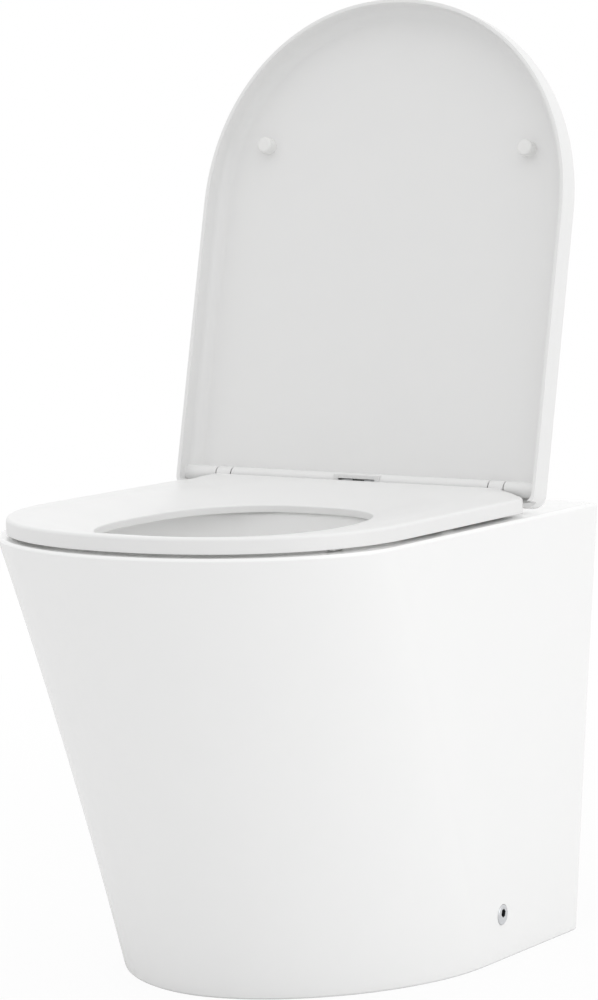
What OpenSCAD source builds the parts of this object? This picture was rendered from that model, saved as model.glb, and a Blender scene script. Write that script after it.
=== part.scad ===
/* [Pan] */
// Width of the pan across its rim
pan_w = 372; // [350:1:400]
// Depth of the pan from its front to the wall
pan_l = 557; // [540:1:600]
// Height of the rim and deck above the floor
pan_h = 400; // [390:1:460]
// How far the rim overhangs the floor's edge on each side
flare = 20.5; // [12:1:30]
// How far the rim overhangs the floor's edge in front
overhang = 151; // [135:1:165]
// Length of the rounded front at the rim
rim_bow = 167.5; // [155:0.5:190]
// Length of the rounded front at the floor
base_bow = 220.5; // [205:0.5:240]
// Squareness of the round front, 2 is an ellipse
front_power = 1.9; // [1.8:0.01:2.4]
// How hollow the raked front is, as a share of its rake
front_bow = 0.1; // [0:0.002:0.14]
// Thickness of the china in the skirt
skirt_wall = 11; // [9:0.5:14]
// Thickness of the china in the deck and rim
deck_t = 15; // [13:0.5:18]
// Radius of the rim's outer edge
rim_round = 3; // [2:0.5:10]
// Radius of the edge at the floor
foot_round = 3; // [1:0.5:5]

/* [Bowl] */
// Width of the flat rim beside the bowl
rim_side = 46; // [40:1:54]
// Width of the flat rim in front of the bowl
rim_front = 48; // [44:1:56]
// Distance of the bowl's rear edge in front of the wall
bowl_back = 190; // [180:1:204]
// Distance of the sump's rear in front of the wall
sump_back = 244; // [240:1:256]
// Squareness of the bowl
bowl_power = 2.2; // [2:0.05:2.6]
// Thickness of the china in the bowl
bowl_wall = 11; // [9:0.5:12]
// Half the width of the sump at the bottom of the bowl
sump_half_w = 40; // [38:1:46]
// Half the length of the sump
sump_half_l = 42; // [38:1:46]
// Height of the sump's floor
sump_h = 125; // [122:1:135]
// Radius of the edge between the rim and the bowl
bowl_lip = 6; // [3:0.5:8]

/* [Water ways] */
// Radius of the bore of the trap
trap_r = 36; // [34:0.5:38]
// Thickness of the china round the trap
trap_wall = 10; // [8:0.5:11]
// Radius of the trap's bends, to the middle of the bore
trap_bend = 60; // [56:1:64]
// Slope of the rising leg of the trap, in degrees
trap_tilt = 50; // [45:1:55]
// Height of the middle of the first bend's curve
trap_dip_h = 115; // [110:1:120]
// Height of the middle of the outlet
outlet_h = 186; // [180:1:200]
// Outer radius of the outlet spigot
spigot_r = 51; // [49:0.5:55]
// Radius of the bore of the outlet spigot
outlet_r = 40; // [38:0.5:44]
// Distance of the spigot's end in front of the wall
spigot_gap = 15; // [5:1:40]
// Length of the spigot
spigot_l = 38; // [30:1:40]
// Height of the middle of the flush inlet
inlet_h = 325; // [315:1:332]
// Radius of the bore of the flush inlet's socket
inlet_r = 27.5; // [25:0.5:30]
// Depth of the flush inlet's socket
inlet_l = 45; // [35:1:60]
// Radius of the channel from the inlet to the bowl
channel_r = 20; // [15:0.5:24]
// Distance of the inlet's mouth in front of the wall
inlet_gap = 50; // [30:1:80]
// Thickness of the china round the inlet
inlet_wall = 8; // [6:0.5:10]

/* [Seat] */
// Distance of the seat's sides inside the pan's sides
seat_side = 6.5; // [5:0.5:12]
// How much narrower the seat is on each side of its back
seat_taper = 2; // [1:0.5:8]
// Distance of the seat's front behind the pan's front
seat_front = 6; // [5:0.5:12]
// Length of the seat's rounded front
seat_bow = 191.5; // [186:0.5:198]
// Squareness of the seat's front
seat_power = 2.14; // [2.1:0.01:2.3]
// Radius of the seat's back corners
seat_corner = 16; // [10:1:24]
// Thickness of the seat ring
seat_t = 13.8; // [13:0.1:16]
// How much the seat's top rises towards the hinge bar
seat_rise = 6.2; // [0:0.1:7]
// Height of the seat's underside above the rim
seat_gap = 3; // [2.5:0.1:5]
// Radius of the seat's top edge
seat_round = 3; // [2:0.5:5]
// Width of the seat ring beside the opening
hole_side = 81.5; // [78:0.5:88]
// Width of the seat ring in front of the opening
hole_front = 68; // [66:1:74]
// Width of the seat ring behind the opening
hole_back = 69.8; // [66:0.1:78]
// Squareness of the opening
hole_power = 2.6; // [2:0.05:2.8]
// Thickness of the seat at the edge of its opening
lip_t = 2.5; // [2:0.1:5]
// How far that edge hangs below the seat's underside
lip_drop = 2; // [0:0.1:2]
// Width of the hollow slope that leads down to that edge
slope_w = 60; // [50:1:62]
// Width of the flat land round the opening under the seat
lip_land = 14; // [12:0.5:20]
// Depth of the hollow under the seat
hollow_d = 4; // [3:0.5:4.5]

/* [Lid] */
// Distance of the lid's sides inside the pan's sides
lid_side = 0; // [0:0.5:3]
// Distance of the lid's front behind the pan's front
lid_front = 0.2; // [0:0.1:4]
// Length of the lid's rounded front
lid_bow = 194.8; // [190:0.2:200]
// Squareness of the lid's front
lid_power = 2.08; // [2.05:0.01:2.3]
// Radius of the lid's back corners
lid_corner = 12; // [8:1:16]
// Depth of the lid's sides and front from its top to the edge of its rim
lid_d = 28.6; // [27:0.1:30]
// Thickness of the lid's top
lid_t = 4.5; // [4:0.1:5]
// Thickness of the lid's side walls
lid_wall = 3.8; // [3.4:0.1:4]
// How far the lid's back wall reaches below the hinge axis
back_drop = 6.5; // [5:0.5:7]
// Radius of the lid's outer edge
lid_round = 6; // [4:0.5:6]
// Radius of the hollow between the lid's top and side
lid_cove = 11.5; // [6:0.5:12]
// How far the lid leans back when it stands open, in degrees
lid_lean = 12.2; // [8:0.1:12.8]
// Space between the seat's top and the lid's inside
lid_gap = 11.8; // [11.2:0.1:12.4]
// Half the width of the notches in the lid's back wall that clear the hinge posts
notch_half = 15.5; // [14:0.5:17]

/* [Hinge] */
// Distance of the hinge axis in front of the wall
hinge_back = 112; // [111:0.5:114]
// Distance from the hinge axis back to the lid's back edge
lid_tail = 16; // [14:0.1:16.2]
// Distance of the seat's back edge in front of the hinge axis
seat_reach = 11.2; // [11.1:0.1:13]
// Depth of the hinge axis below the lid's inside
axis_drop = 7.6; // [7.5:0.1:8]
// Radius of the hinge bar and the ears
bar_r = 7.2; // [7.1:0.1:7.3]
// Distance of the hinge bar's ends inside the pan's sides
bar_in = 53; // [50:1:58]
// Radius of the hinge shafts
shaft_r = 4; // [3.5:0.1:4.2]
// Radius of the shafts inside the dampers
rotor_r = 2.8; // [2.2:0.1:3]
// Radius of the damper bodies
damper_r = 5.6; // [5:0.1:5.8]
// Length of each damper body
damper_l = 31.5; // [28:0.5:34]
// Width of each ear on the seat
seat_ear_w = 14.7; // [12:0.1:16]
// Width of each ear on the lid
lid_ear_w = 14.5; // [10:0.5:16]
// Space between an ear and its neighbour
ear_gap = 1; // [0.5:0.1:1.5]
// Radius of the pivot bushes
bush_r = 5.2; // [5:0.1:5.3]
// Running clearance of a shaft in its bush or damper
run_fit = 0.05; // [0.02:0.01:0.1]
// Clearance of a piece in a fixed seat
seat_fit = 0.02; // [0.01:0.01:0.05]

/* [Hinge posts] */
// Distance between the two holes in the deck
post_pitch = 155; // [150:1:160]
// Distance from the hinge axis forward to the posts
post_forward = 1.5; // [1.2:0.1:1.8]
// Radius of the posts
post_r = 4; // [3.5:0.1:4.1]
// Radius of the groove in the posts
groove_r = 2.7; // [2.2:0.1:3]
// Radius of the threaded shanks below the deck
shank_r = 3.9; // [3:0.1:4]
// Radius of the sockets on the hinge bar
socket_r = 6; // [5.6:0.1:6.1]
// Radius of the posts' base discs
post_foot_r = 9; // [8:0.5:10]
// Thickness of the posts' base discs
post_foot_t = 1.2; // [1:0.1:1.3]
// Thickness of the gaskets under the posts
gasket_t = 1; // [0.8:0.1:1.1]
// Radius of the holes in the deck
deck_hole_r = 8; // [7:0.5:9]
// How far the bushes hang below the deck
bush_below = 14; // [8:1:20]
// Height of the nuts under the bushes
nut_h = 7; // [5:0.5:9]
// Radius of the nuts across their corners
nut_r = 8; // [7.5:0.5:10]

/* [Release button] */
// Half the width of the button
button_half = 18.6; // [17:0.1:19]
// Height of the button
button_h = 4.8; // [4:0.1:5]
// Travel of the button
button_travel = 2; // [1.5:0.1:2]
// Space round the button in its pocket
button_fit = 0.4; // [0.3:0.05:0.5]
// Height of the open slot above the button
slot_h = 2.6; // [1.6:0.1:2.8]
// Radius of the latch rods
rod_r = 2.2; // [1.8:0.1:2.3]
// Clearance of the rods in their channels
rod_fit = 0.1; // [0.05:0.01:0.15]

/* [Buffers] */
// Length of each seat buffer
seat_pad_l = 22; // [16:1:26]
// Width of each seat buffer
seat_pad_w = 8; // [6:1:9]
// Radius of the lid buffers
lid_pad_r = 7.5; // [6:0.5:9]
// Distance of the lid buffers inside the lid's side
lid_pad_in = 50.5; // [48:0.5:54]
// Distance of the lid buffers from the lid's front edge
lid_pad_front = 134.5; // [124:0.5:148]
// Gap left under a buffer when it meets its neighbour
pad_gap = 0.3; // [0.2:0.05:0.4]
// Distance of the front seat buffers inside the seat's side
front_pad_in = 27.5; // [26:0.5:32]
// Distance of the front seat buffers behind the seat's front
front_pad_front = 117.3; // [112:0.1:126]
// Distance of the rear seat buffers inside the seat's side
rear_pad_in = 14.5; // [13:0.5:18]
// Distance of the rear seat buffers in front of the wall
rear_pad_back = 260.5; // [248:0.5:270]
// Radius of the buffers' stems
stem_r = 2.5; // [2:0.1:3]
// Length of the seat buffers' stems
stem_l = 4; // [3:0.5:5]

/* [Floor fixing] */
// Distance of the side cams in front of the wall
cam_back = 155; // [150:1:165]
// Height of the side cams
cam_h = 43; // [38:1:46]
// Radius of the cam heads
cam_head_r = 9.2; // [8:0.1:10]
// Thickness of the cam heads
cam_head_t = 4.5; // [3:0.5:6]
// How far the cam heads stand out of the skirt
cam_proud = 1; // [0.5:0.1:2]
// Radius of the cam shafts
cam_shaft_r = 6; // [5:0.1:6.5]
// Radius of the eccentric ends
cam_ecc_r = 5; // [4:0.1:5.2]
// Offset of the eccentric ends
cam_offset = 1.5; // [1:0.1:1.6]
// Width of the key socket across its flats
key_af = 7; // [5:0.5:8]
// Depth of the key socket
key_d = 4; // [3:0.5:6]
// Clearance of the cam in its sleeve
cam_fit = 0.1; // [0.05:0.01:0.2]
// Space round the cam's head in the hole in the skirt
cam_hole_fit = 0.3; // [0.2:0.05:0.6]
// Thickness of the floor brackets
bracket_t = 4; // [3:0.5:5]
// Thickness of the brackets' upright plates
upright_t = 8; // [6:0.5:10]
// Width of the floor brackets along the pan
bracket_w = 70; // [60:1:80]
// Depth of the floor brackets across the pan
bracket_d = 50; // [44:1:56]
// Distance between the two screw holes in a bracket
bracket_pitch = 44; // [36:1:50]
// Radius of the screw holes in the brackets
bracket_hole_r = 3.5; // [3:0.25:4.5]

/* [Hidden] */

// The sides of a full circle on exact round parts
$fn = 48;
// Steps along a straight side, and round a front end
side_steps = 4;
end_steps = 34;
// A small overlap for joined or cut solids
eps = 1;

china = [0.95, 0.95, 0.94];
plastic = [0.93, 0.93, 0.92];
grey = [0.6, 0.6, 0.62];
steel = [0.75, 0.76, 0.78];

// The frame: x across the pan, y towards the wall, z up, origin at the floor under the middle
wall_y = pan_l / 2;
axis_y = wall_y - hinge_back;
bar_half = pan_w / 2 - bar_in;
base_w = pan_w - 2 * flare;
base_l = pan_l - overhang;
bowl_half_w = pan_w / 2 - rim_side;
bowl_half_l = (pan_l - bowl_back - rim_front) / 2;
sump_y = wall_y - sump_back - sump_half_l;
seat_w = pan_w - 2 * seat_side;
seat_back_w = seat_w - 2 * seat_taper;
seat_l = pan_l - hinge_back - seat_reach - seat_front;
hole_half_w = seat_w / 2 - hole_side;
hole_half_l = (seat_l - hole_front - hole_back) / 2;
lid_w = pan_w - 2 * lid_side;
lid_l = pan_l - hinge_back + lid_tail - lid_front;
seat_z0 = pan_h + seat_gap;
seat_z1 = seat_z0 + seat_t;
lid_z1 = seat_z1 + lid_gap;
lid_top = lid_z1 + lid_t;
lid_z0 = lid_top - lid_d;
axis_z = lid_z1 - axis_drop;
seat_back_y = axis_y - seat_reach;
lid_back_y = axis_y + lid_tail;
open_angle = 90 + lid_lean;

// Sign and power together, the rule of a superellipse
function pow_sign(v, p) = sign(v) * pow(abs(v), p);

// One D shaped ring: left side, round front, right side
function d_ring(half, back, straight, front, power, z) = concat(
    [for (k = [0:side_steps - 1]) [-half, back - straight * k / side_steps, z]],
    [for (k = [0:end_steps]) let (a = 180 * k / end_steps)
        [-half * pow_sign(cos(a), 2 / power), back - straight - front * pow_sign(sin(a), 2 / power), z]],
    [for (k = [side_steps - 1:-1:0]) [half, back - straight * k / side_steps, z]]);

function mix_ring(a, b, f) = [for (k = [0:len(a) - 1])
    [a[k].x + (b[k].x - a[k].x) * f, a[k].y + (b[k].y - a[k].y) * f, a[k].z]];

// How far the skirt has widened at a height, from 0 at the floor to 1 under the rim's round edge
function rake(z) = let (t = min(1, z / (pan_h - rim_round))) t - front_bow * t * (1 - t);

// The skirt's outline at a height, drawn in by an inset
function skirt_ring(z, inset, back) =
    mix_ring(
        d_ring(base_w / 2 - inset, back, base_l - base_bow + back - wall_y, base_bow - inset,
               front_power, z),
        d_ring(pan_w / 2 - inset, back, pan_l - rim_bow + back - wall_y, rim_bow - inset,
               front_power, z),
        rake(z));

// The width of the skirt's outside at a height, on its straight part
function skirt_half(z) = base_w / 2 + (pan_w - base_w) / 2 * rake(z);

// A closed superellipse ring
function oval_ring(half_w, half_l, mid_y, power, z, steps = 44) =
    [for (k = [0:steps - 1]) let (a = 360 * k / steps)
        [half_w * pow_sign(cos(a), 2 / power), mid_y + half_l * pow_sign(sin(a), 2 / power), z]];

// The bowl at a share s of its height, grown outwards for its outer face
function bowl_ring(s, grow, z) =
    let (k = pow(1 - pow(1 - s, 2), 0.75),
         half_w = sump_half_w + (bowl_half_w - sump_half_w) * k,
         half_l = sump_half_l + (bowl_half_l - sump_half_l) * k,
         mid_y = sump_y + (wall_y - bowl_back - bowl_half_l - sump_y) * k)
    oval_ring(half_w + grow, half_l + grow, mid_y, bowl_power, z);

// A seat or lid outline from the middle of its back round to the same point, inset all round
function shell_half(w, back_w, back, l, straight, power, corner, inset) =
    let (r = max(corner - inset, 0.5), hb = back_w / 2 - inset, h = w / 2 - inset,
         yb = back - inset, ys = back - straight, le = l - straight - inset)
    concat(
        [for (k = [0:3]) [-(hb - r) * k / 4, yb]],
        [for (k = [0:5]) let (a = 90 * k / 5) [-(hb - r) - r * sin(a), yb - r + r * cos(a)]],
        [for (k = [1:6]) let (u = k / 7) [-(h - (h - hb) * pow(1 - u, 2)), yb - r - (yb - r - ys) * u]],
        [for (k = [0:15]) let (a = 90 * k / 16)
            [-h * pow_sign(cos(a), 2 / power), ys - le * pow_sign(sin(a), 2 / power)]]);
function shell_outline(w, back_w, back, l, straight, power, corner, inset) =
    let (half = shell_half(w, back_w, back, l, straight, power, corner, inset), n = len(half))
    concat(half, [[0, back - l + inset]], [for (k = [n - 1:-1:1]) [-half[k].x, half[k].y]]);
function seat_outline(inset) =
    shell_outline(seat_w, seat_back_w, seat_back_y, seat_l, seat_l - seat_bow, seat_power, seat_corner,
                  inset);
function lid_outline(inset) =
    shell_outline(lid_w, lid_w, lid_back_y, lid_l, lid_l - lid_bow, lid_power, lid_corner, inset);
function at_z(outline, z) = [for (p = outline) [p.x, p.y, z]];

// The seat's top rises smoothly towards the hinge bar, and not at its rear corners
rise_run = 60;
rise_side = 30;
rise_in = 4;
function ease(t) = let (u = min(1, max(0, t))) u * u * (3 - 2 * u);
function rise_at(p) = seat_rise * ease((p.y - seat_back_y + rise_run) / rise_run)
    * ease((seat_back_w / 2 - rise_in - abs(p.x)) / rise_side);
function on_top(outline, z) = [for (p = outline) [p.x, p.y, z + rise_at(p)]];

// The opening of the seat on the same rays as its outline
hole_mid_y = seat_back_y - seat_l + hole_front + hole_half_l;
seat_rays = [for (p = seat_outline(0)) atan2(p.y - hole_mid_y, p.x)];
function hole_outline(grow) = [for (a = seat_rays)
    let (r = pow(pow(abs(cos(a)) / (hole_half_w + grow), hole_power)
               + pow(abs(sin(a)) / (hole_half_l + grow), hole_power), -1 / hole_power))
    [r * cos(a), hole_mid_y + r * sin(a)]];

// Half way between a ring's first point and the one across from it
function ring_mid(r) = (r[0] + r[floor(len(r) / 2)]) / 2;

// Rings joined into a skin: closed into a loop, or capped at both ends
module skin(rings, loop = false) {
    n = len(rings[0]);
    m = len(rings);
    last = loop ? m - 1 : m - 2;
    sides = [for (j = [0:last], i = [0:n - 1], t = [0:1])
        let (next = (i + 1) % n, a = j * n + i, b = j * n + next,
             c = ((j + 1) % m) * n + i, d = ((j + 1) % m) * n + next)
        t == 0 ? [a, c, d] : [a, d, b]];
    caps = loop ? [] : [for (i = [0:n - 1], t = [0:1]) let (k = (i + 1) % n)
        t == 0 ? [m * n, i, k] : [m * n + 1, (m - 1) * n + k, (m - 1) * n + i]];
    mids = loop ? [] : [ring_mid(rings[0]), ring_mid(rings[m - 1])];
    polyhedron(points = concat([for (r = rings, p = r) p], mids), faces = concat(sides, caps), convexity = 6);
}

// A round bar along x, y or z between two places
module bar_x(r, x0, x1, y, z) {
    translate([x0, y, z]) rotate([0, 90, 0]) cylinder(r = r, h = x1 - x0);
}
module bar_y(r, y0, y1, x, z) {
    translate([x, y0, z]) rotate([-90, 0, 0]) cylinder(r = r, h = y1 - y0);
}
module bar_z(r, z0, z1, x, y) {
    translate([x, y, z0]) cylinder(r = r, h = z1 - z0);
}
module block(x0, x1, y0, y1, z0, z1) {
    translate([x0, y0, z0]) cube([x1 - x0, y1 - y0, z1 - z0]);
}
// The same piece on the right and, mirrored, on the left
module on_side(side) {
    if (side > 0) children();
    else mirror([1, 0, 0]) children();
}

// The trap runs down, back up a slope and out to the wall, in the middle plane
rise_y = trap_bend + trap_bend * sin(trap_tilt);
rise_z = trap_dip_h - trap_bend * cos(trap_tilt);
rise_l = (outlet_h - trap_dip_h - trap_bend + 2 * trap_bend * cos(trap_tilt)) / sin(trap_tilt);
turn_y = rise_y + rise_l * cos(trap_tilt) + trap_bend * sin(trap_tilt);
turn_z = outlet_h - trap_bend;
spigot_end = wall_y - spigot_gap;
// Places along the trap: distance towards the wall, height and heading
trap_places = concat(
    [for (k = [0:10]) let (a = -90 + (90 + trap_tilt) * k / 10)
        [trap_bend + trap_bend * sin(a), trap_dip_h - trap_bend * cos(a), a]],
    [for (k = [0:4]) let (a = trap_tilt * (4 - k) / 4)
        [turn_y - trap_bend * sin(a), turn_z + trap_bend * cos(a), a]]);
trap_sides = 24;
function trap_ring(y, z, a, r) = [for (k = [0:trap_sides - 1]) let (b = 360 * k / trap_sides)
    [r * cos(b), sump_y + y + r * sin(b) * sin(a), z - r * sin(b) * cos(a)]];
module trap_run(r, top, out) {
    skin(concat(
        [trap_ring(0, top, -90, r)],
        [for (p = trap_places) trap_ring(p[0], p[1], p[2], r)],
        [trap_ring(out - sump_y, outlet_h, 0, r)]));
}

// The flush inlet: a socket for the pipe and a narrower channel into the bowl
inlet_end = wall_y - inlet_gap;
bowl_rear_y = wall_y - bowl_back;

// Round edges of the pan as pairs of height and inset
arc_steps = 4;
rim_edge = [for (k = [0:arc_steps]) let (a = 90 * k / arc_steps)
    [pan_h - rim_round + rim_round * sin(a), rim_round - rim_round * cos(a)]];
foot_edge = [[0, foot_round], [foot_round * 0.3, foot_round * 0.3], [foot_round, 0]];
// Heights of the bowl's rings as shares of its depth
bowl_shares = [0, 0.04, 0.1, 0.19, 0.31, 0.46, 0.64, 0.82];
bowl_rise = pan_h - sump_h;

module pan_outside() {
    skin(concat(
        [for (e = foot_edge) skirt_ring(e[0], e[1], wall_y)],
        [for (t = [0.33, 0.66]) skirt_ring(pan_h * t, 0, wall_y)],
        [for (e = rim_edge) skirt_ring(e[0], e[1], wall_y)]));
}
module pan_cavity() {
    skin([for (z = [-eps, pan_h * 0.33, pan_h * 0.66, pan_h - deck_t])
        skirt_ring(z, skirt_wall, wall_y + 5 * eps)]);
}
module bowl_inside() {
    skin(concat(
        [for (s = bowl_shares) bowl_ring(s, 0, sump_h + bowl_rise * s)],
        [bowl_ring(1, 0, pan_h - bowl_lip),
         bowl_ring(1, bowl_lip * 0.3, pan_h - bowl_lip * 0.3),
         bowl_ring(1, bowl_lip, pan_h),
         bowl_ring(1, bowl_lip, pan_h + eps)]));
}
module bowl_outside() {
    skin(concat(
        [bowl_ring(0, bowl_wall, sump_h - bowl_wall)],
        [for (s = bowl_shares) bowl_ring(s, bowl_wall, sump_h + bowl_rise * s)],
        [bowl_ring(1, bowl_wall, pan_h - deck_t + 2 * eps)]));
}

// The pan: one piece of glazed china, with its skirt, deck, bowl, trap and inlet
cam_y = wall_y - cam_back;
cam_hole_r = cam_head_r + cam_hole_fit;
module pan() {
    color(china) difference() {
        pan_outside();
        difference() {
            pan_cavity();
            bowl_outside();
            trap_run(trap_r + trap_wall, sump_h, spigot_end - spigot_l / 2);
            bar_y(spigot_r, spigot_end - spigot_l, spigot_end, 0, outlet_h);
            bar_y(inlet_r + inlet_wall, bowl_rear_y, inlet_end, 0, inlet_h);
        }
        bowl_inside();
        trap_run(trap_r, sump_h + eps, spigot_end - spigot_l + eps);
        bar_y(outlet_r, spigot_end - spigot_l, spigot_end + eps, 0, outlet_h);
        bar_y(inlet_r, inlet_end - inlet_l, inlet_end + eps, 0, inlet_h);
        bar_y(channel_r, bowl_rear_y - 2 * bowl_wall, inlet_end - inlet_l + eps, 0, inlet_h);
        for (s = [-1, 1]) {
            bar_z(deck_hole_r, pan_h - deck_t - eps, pan_h + eps, s * post_x, post_y);
            on_side(s) bar_x(cam_hole_r, base_w / 2 - 3 * skirt_wall, pan_w / 2, cam_y, cam_h);
        }
    }
}

// The lid: a moulded shell with a wall all round, drawn closed and turned up to stand open
lid_edge = [for (k = [0:3]) let (a = 90 * k / 3) [lid_round - lid_round * cos(a), lid_round * sin(a)]];
cove_edge = [for (k = [0:3]) let (a = 90 * k / 3) [lid_cove - lid_cove * sin(a), lid_cove * cos(a)]];
// The ears: the seat's next to the hinge bar, the lid's outside them
ear_x0 = bar_half + ear_gap;
ear_x1 = ear_x0 + seat_ear_w;
lid_ear_x0 = ear_x1 + ear_gap;
lid_ear_x1 = lid_ear_x0 + lid_ear_w;
lid_pad_x = lid_w / 2 - lid_pad_in;
lid_pad_y = lid_back_y - lid_l + lid_pad_front;
// A height inside the lid's top, and how far the ears' webs reach below the axis
in_lid = lid_z1 + lid_t / 2;
ear_web = 2;
module open_lid() {
    translate([0, axis_y, axis_z]) rotate([-open_angle, 0, 0]) translate([0, -axis_y, -axis_z])
        children();
}
module lid_shell() {
    skin(concat(
        [for (e = cove_edge) at_z(lid_outline(lid_wall + e[0]), lid_z1 - lid_cove + e[1])],
        [at_z(lid_outline(lid_wall), lid_z0 + 1),
         at_z(lid_outline(lid_wall - 1), lid_z0),
         at_z(lid_outline(1), lid_z0),
         at_z(lid_outline(0), lid_z0 + 1)],
        [for (e = lid_edge) at_z(lid_outline(e[0]), lid_top - lid_round + e[1])]));
}
module lid() {
    color(plastic) open_lid() difference() {
        union() {
            lid_shell();
            for (s = [-1, 1]) on_side(s) {
                bar_x(bar_r, lid_ear_x0, lid_ear_x1, axis_y, axis_z);
                block(lid_ear_x0, lid_ear_x1, axis_y - bar_r, axis_y + bar_r, axis_z, in_lid);
                block(lid_ear_x0, lid_ear_x1, axis_y, lid_back_y - lid_wall / 2, axis_z - ear_web, in_lid);
            }
        }
        block(-lid_w, lid_w, lid_back_y - lid_wall - eps, lid_back_y + eps, lid_z0 - eps, axis_z - back_drop);
        for (s = [-1, 1]) {
            block(s * post_x - notch_half, s * post_x + notch_half, axis_y + eps / 2, lid_back_y + eps,
                  lid_z0 - eps, lid_z1);
            bar_z(stem_r + seat_fit, lid_z1 - eps, in_lid, s * lid_pad_x, lid_pad_y);
        }
        bar_x(bush_r + seat_fit, lid_ear_x0 - eps, lid_ear_x1 + eps, axis_y, axis_z);
        bar_x(shaft_r + seat_fit, -lid_ear_x1 - eps, -lid_ear_x0 + eps, axis_y, axis_z);
    }
}
module lid_buffer(side) {
    color(plastic) open_lid() union() {
        bar_z(lid_pad_r, seat_z1 + rise_at([lid_pad_x, lid_pad_y]) + pad_gap, lid_z1, side * lid_pad_x, lid_pad_y);
        bar_z(stem_r, lid_z1, in_lid, side * lid_pad_x, lid_pad_y);
    }
}

// The seat: a ring with a hollow underside, two ears and holes for its buffers
seat_edge = [for (k = [0:3]) let (a = 90 * k / 3)
    [seat_round - seat_round * cos(a), seat_z1 - seat_round + seat_round * sin(a)]];
// The lands round the hollow under the ring
land_round = 2;
land_w = 9;
land_draft = 2;
// Across the ring's top: a slope that steepens towards the opening, and the edge rolled over into it
lip_bevel = 1;
lip_round = lip_t - lip_bevel;
lip_w = 5;
lip_z = seat_z0 - lip_drop;
slope_power = 1.4;
function slope_at(w) = seat_z1 - (seat_t - lip_t) * pow(1 - w / slope_w, slope_power);
// A ring on the flat top, a share of the way from the seat's outer edge to the slope
function top_ring(f) = let (a = seat_outline(seat_round), b = hole_outline(slope_w))
    on_top([for (k = [0:len(a) - 1]) a[k] * (1 - f) + b[k] * f], seat_z1);
hole_edge = concat(
    [for (k = [0:4]) let (w = slope_w + (lip_round - slope_w) * k / 5) [w, slope_at(w)]],
    [for (k = [0:3]) let (a = 90 * k / 3)
        [lip_round - lip_round * sin(a), slope_at(lip_round) - lip_round + lip_round * cos(a)]]);
hole_profile = [[0, lip_z + lip_bevel], [lip_bevel, lip_z], [lip_w, lip_z], [lip_w + lip_drop, seat_z0],
                [lip_land, seat_z0], [lip_land + land_draft, seat_z0 + hollow_d]];
rim_profile = [[land_w + land_draft, seat_z0 + hollow_d], [land_w, seat_z0], [land_round, seat_z0],
               [0, seat_z0 + land_round]];
// The arms that join the ring to its ears, and the bosses that hold the buffers' stems
arm_z0 = axis_z - bar_r / 2;
arm_z1 = seat_z1 + seat_rise - seat_round / 2;
arm_in = 4;
boss_half = stem_r + 3;
pad_front = [seat_w / 2 - front_pad_in, seat_back_y - seat_l + front_pad_front];
pad_rear = [seat_w / 2 - rear_pad_in, wall_y - rear_pad_back];
module seat_ring() {
    color(plastic) difference() {
        union() {
            skin(concat(
                [for (e = rim_profile) at_z(seat_outline(e[0]), e[1])],
                [for (e = seat_edge) on_top(seat_outline(e[0]), e[1])],
                [for (f = [0.33, 0.67]) top_ring(f)],
                [for (e = hole_edge) on_top(hole_outline(e[0]), e[1])],
                [for (e = hole_profile) at_z(hole_outline(e[0]), e[1])]), loop = true);
            for (s = [-1, 1]) on_side(s) {
                bar_x(bar_r, ear_x0, ear_x1, axis_y, axis_z);
                block(ear_x0, ear_x1, seat_back_y - arm_in, axis_y, arm_z0, arm_z1);
                for (p = [pad_front, pad_rear])
                    block(p.x - boss_half, p.x + boss_half, p.y - boss_half, p.y + boss_half,
                          seat_z0, seat_z0 + hollow_d + eps);
            }
        }
        bar_x(bush_r + seat_fit, -ear_x1 - eps, -ear_x0 + eps, axis_y, axis_z);
        bar_x(shaft_r + seat_fit, ear_x0 - eps, ear_x1 + eps, axis_y, axis_z);
        for (s = [-1, 1], p = [pad_front, pad_rear])
            bar_z(stem_r + seat_fit, seat_z0 - eps, seat_z0 + stem_l, s * p.x, p.y);
    }
}
module seat_buffer(side, p) {
    half = seat_pad_w / 2;
    reach = seat_pad_l / 2 - half;
    color(plastic) union() {
        for (e = [-1, 1])
            bar_z(half, pan_h + pad_gap, seat_z0, side * p.x, p.y + e * reach);
        block(side * p.x - half, side * p.x + half, p.y - reach, p.y + reach, pan_h + pad_gap, seat_z0);
        bar_z(stem_r, seat_z0, seat_z0 + stem_l - seat_fit, side * p.x, p.y);
    }
}

// The hinge bar: it stands on two posts, and holds the dampers and the release button
post_x = post_pitch / 2;
post_y = axis_y - post_forward;
// Height of the posts over the axis, and the room for the rods in their grooves
post_over = 3.6;
post_top = axis_z + post_over;
socket_z0 = pan_h + gasket_t + post_foot_t + 0.1;
groove_half = rod_r + 0.4;
damper_x1 = bar_half - 0.5;
damper_x0 = damper_x1 - damper_l;
// The button: its face stands just out of the house, which stands out of the bar
house_out = 8;
button_out = 0.4;
button_t = 2.2;
button_drop = 4.3;
house_y0 = axis_y - house_out;
button_y0 = house_y0 - button_out;
button_y1 = button_y0 + button_t;
button_z0 = axis_z - button_drop;
button_z1 = button_z0 + button_h;
house_half = button_half + button_fit + 4.6;
house_drop = 6.2;
// The pocket behind the button, where its fingers push the heads of the rods together
pocket_half = house_half - 3;
pocket_front = 2.5;
pocket_back = 5.6;
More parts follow.
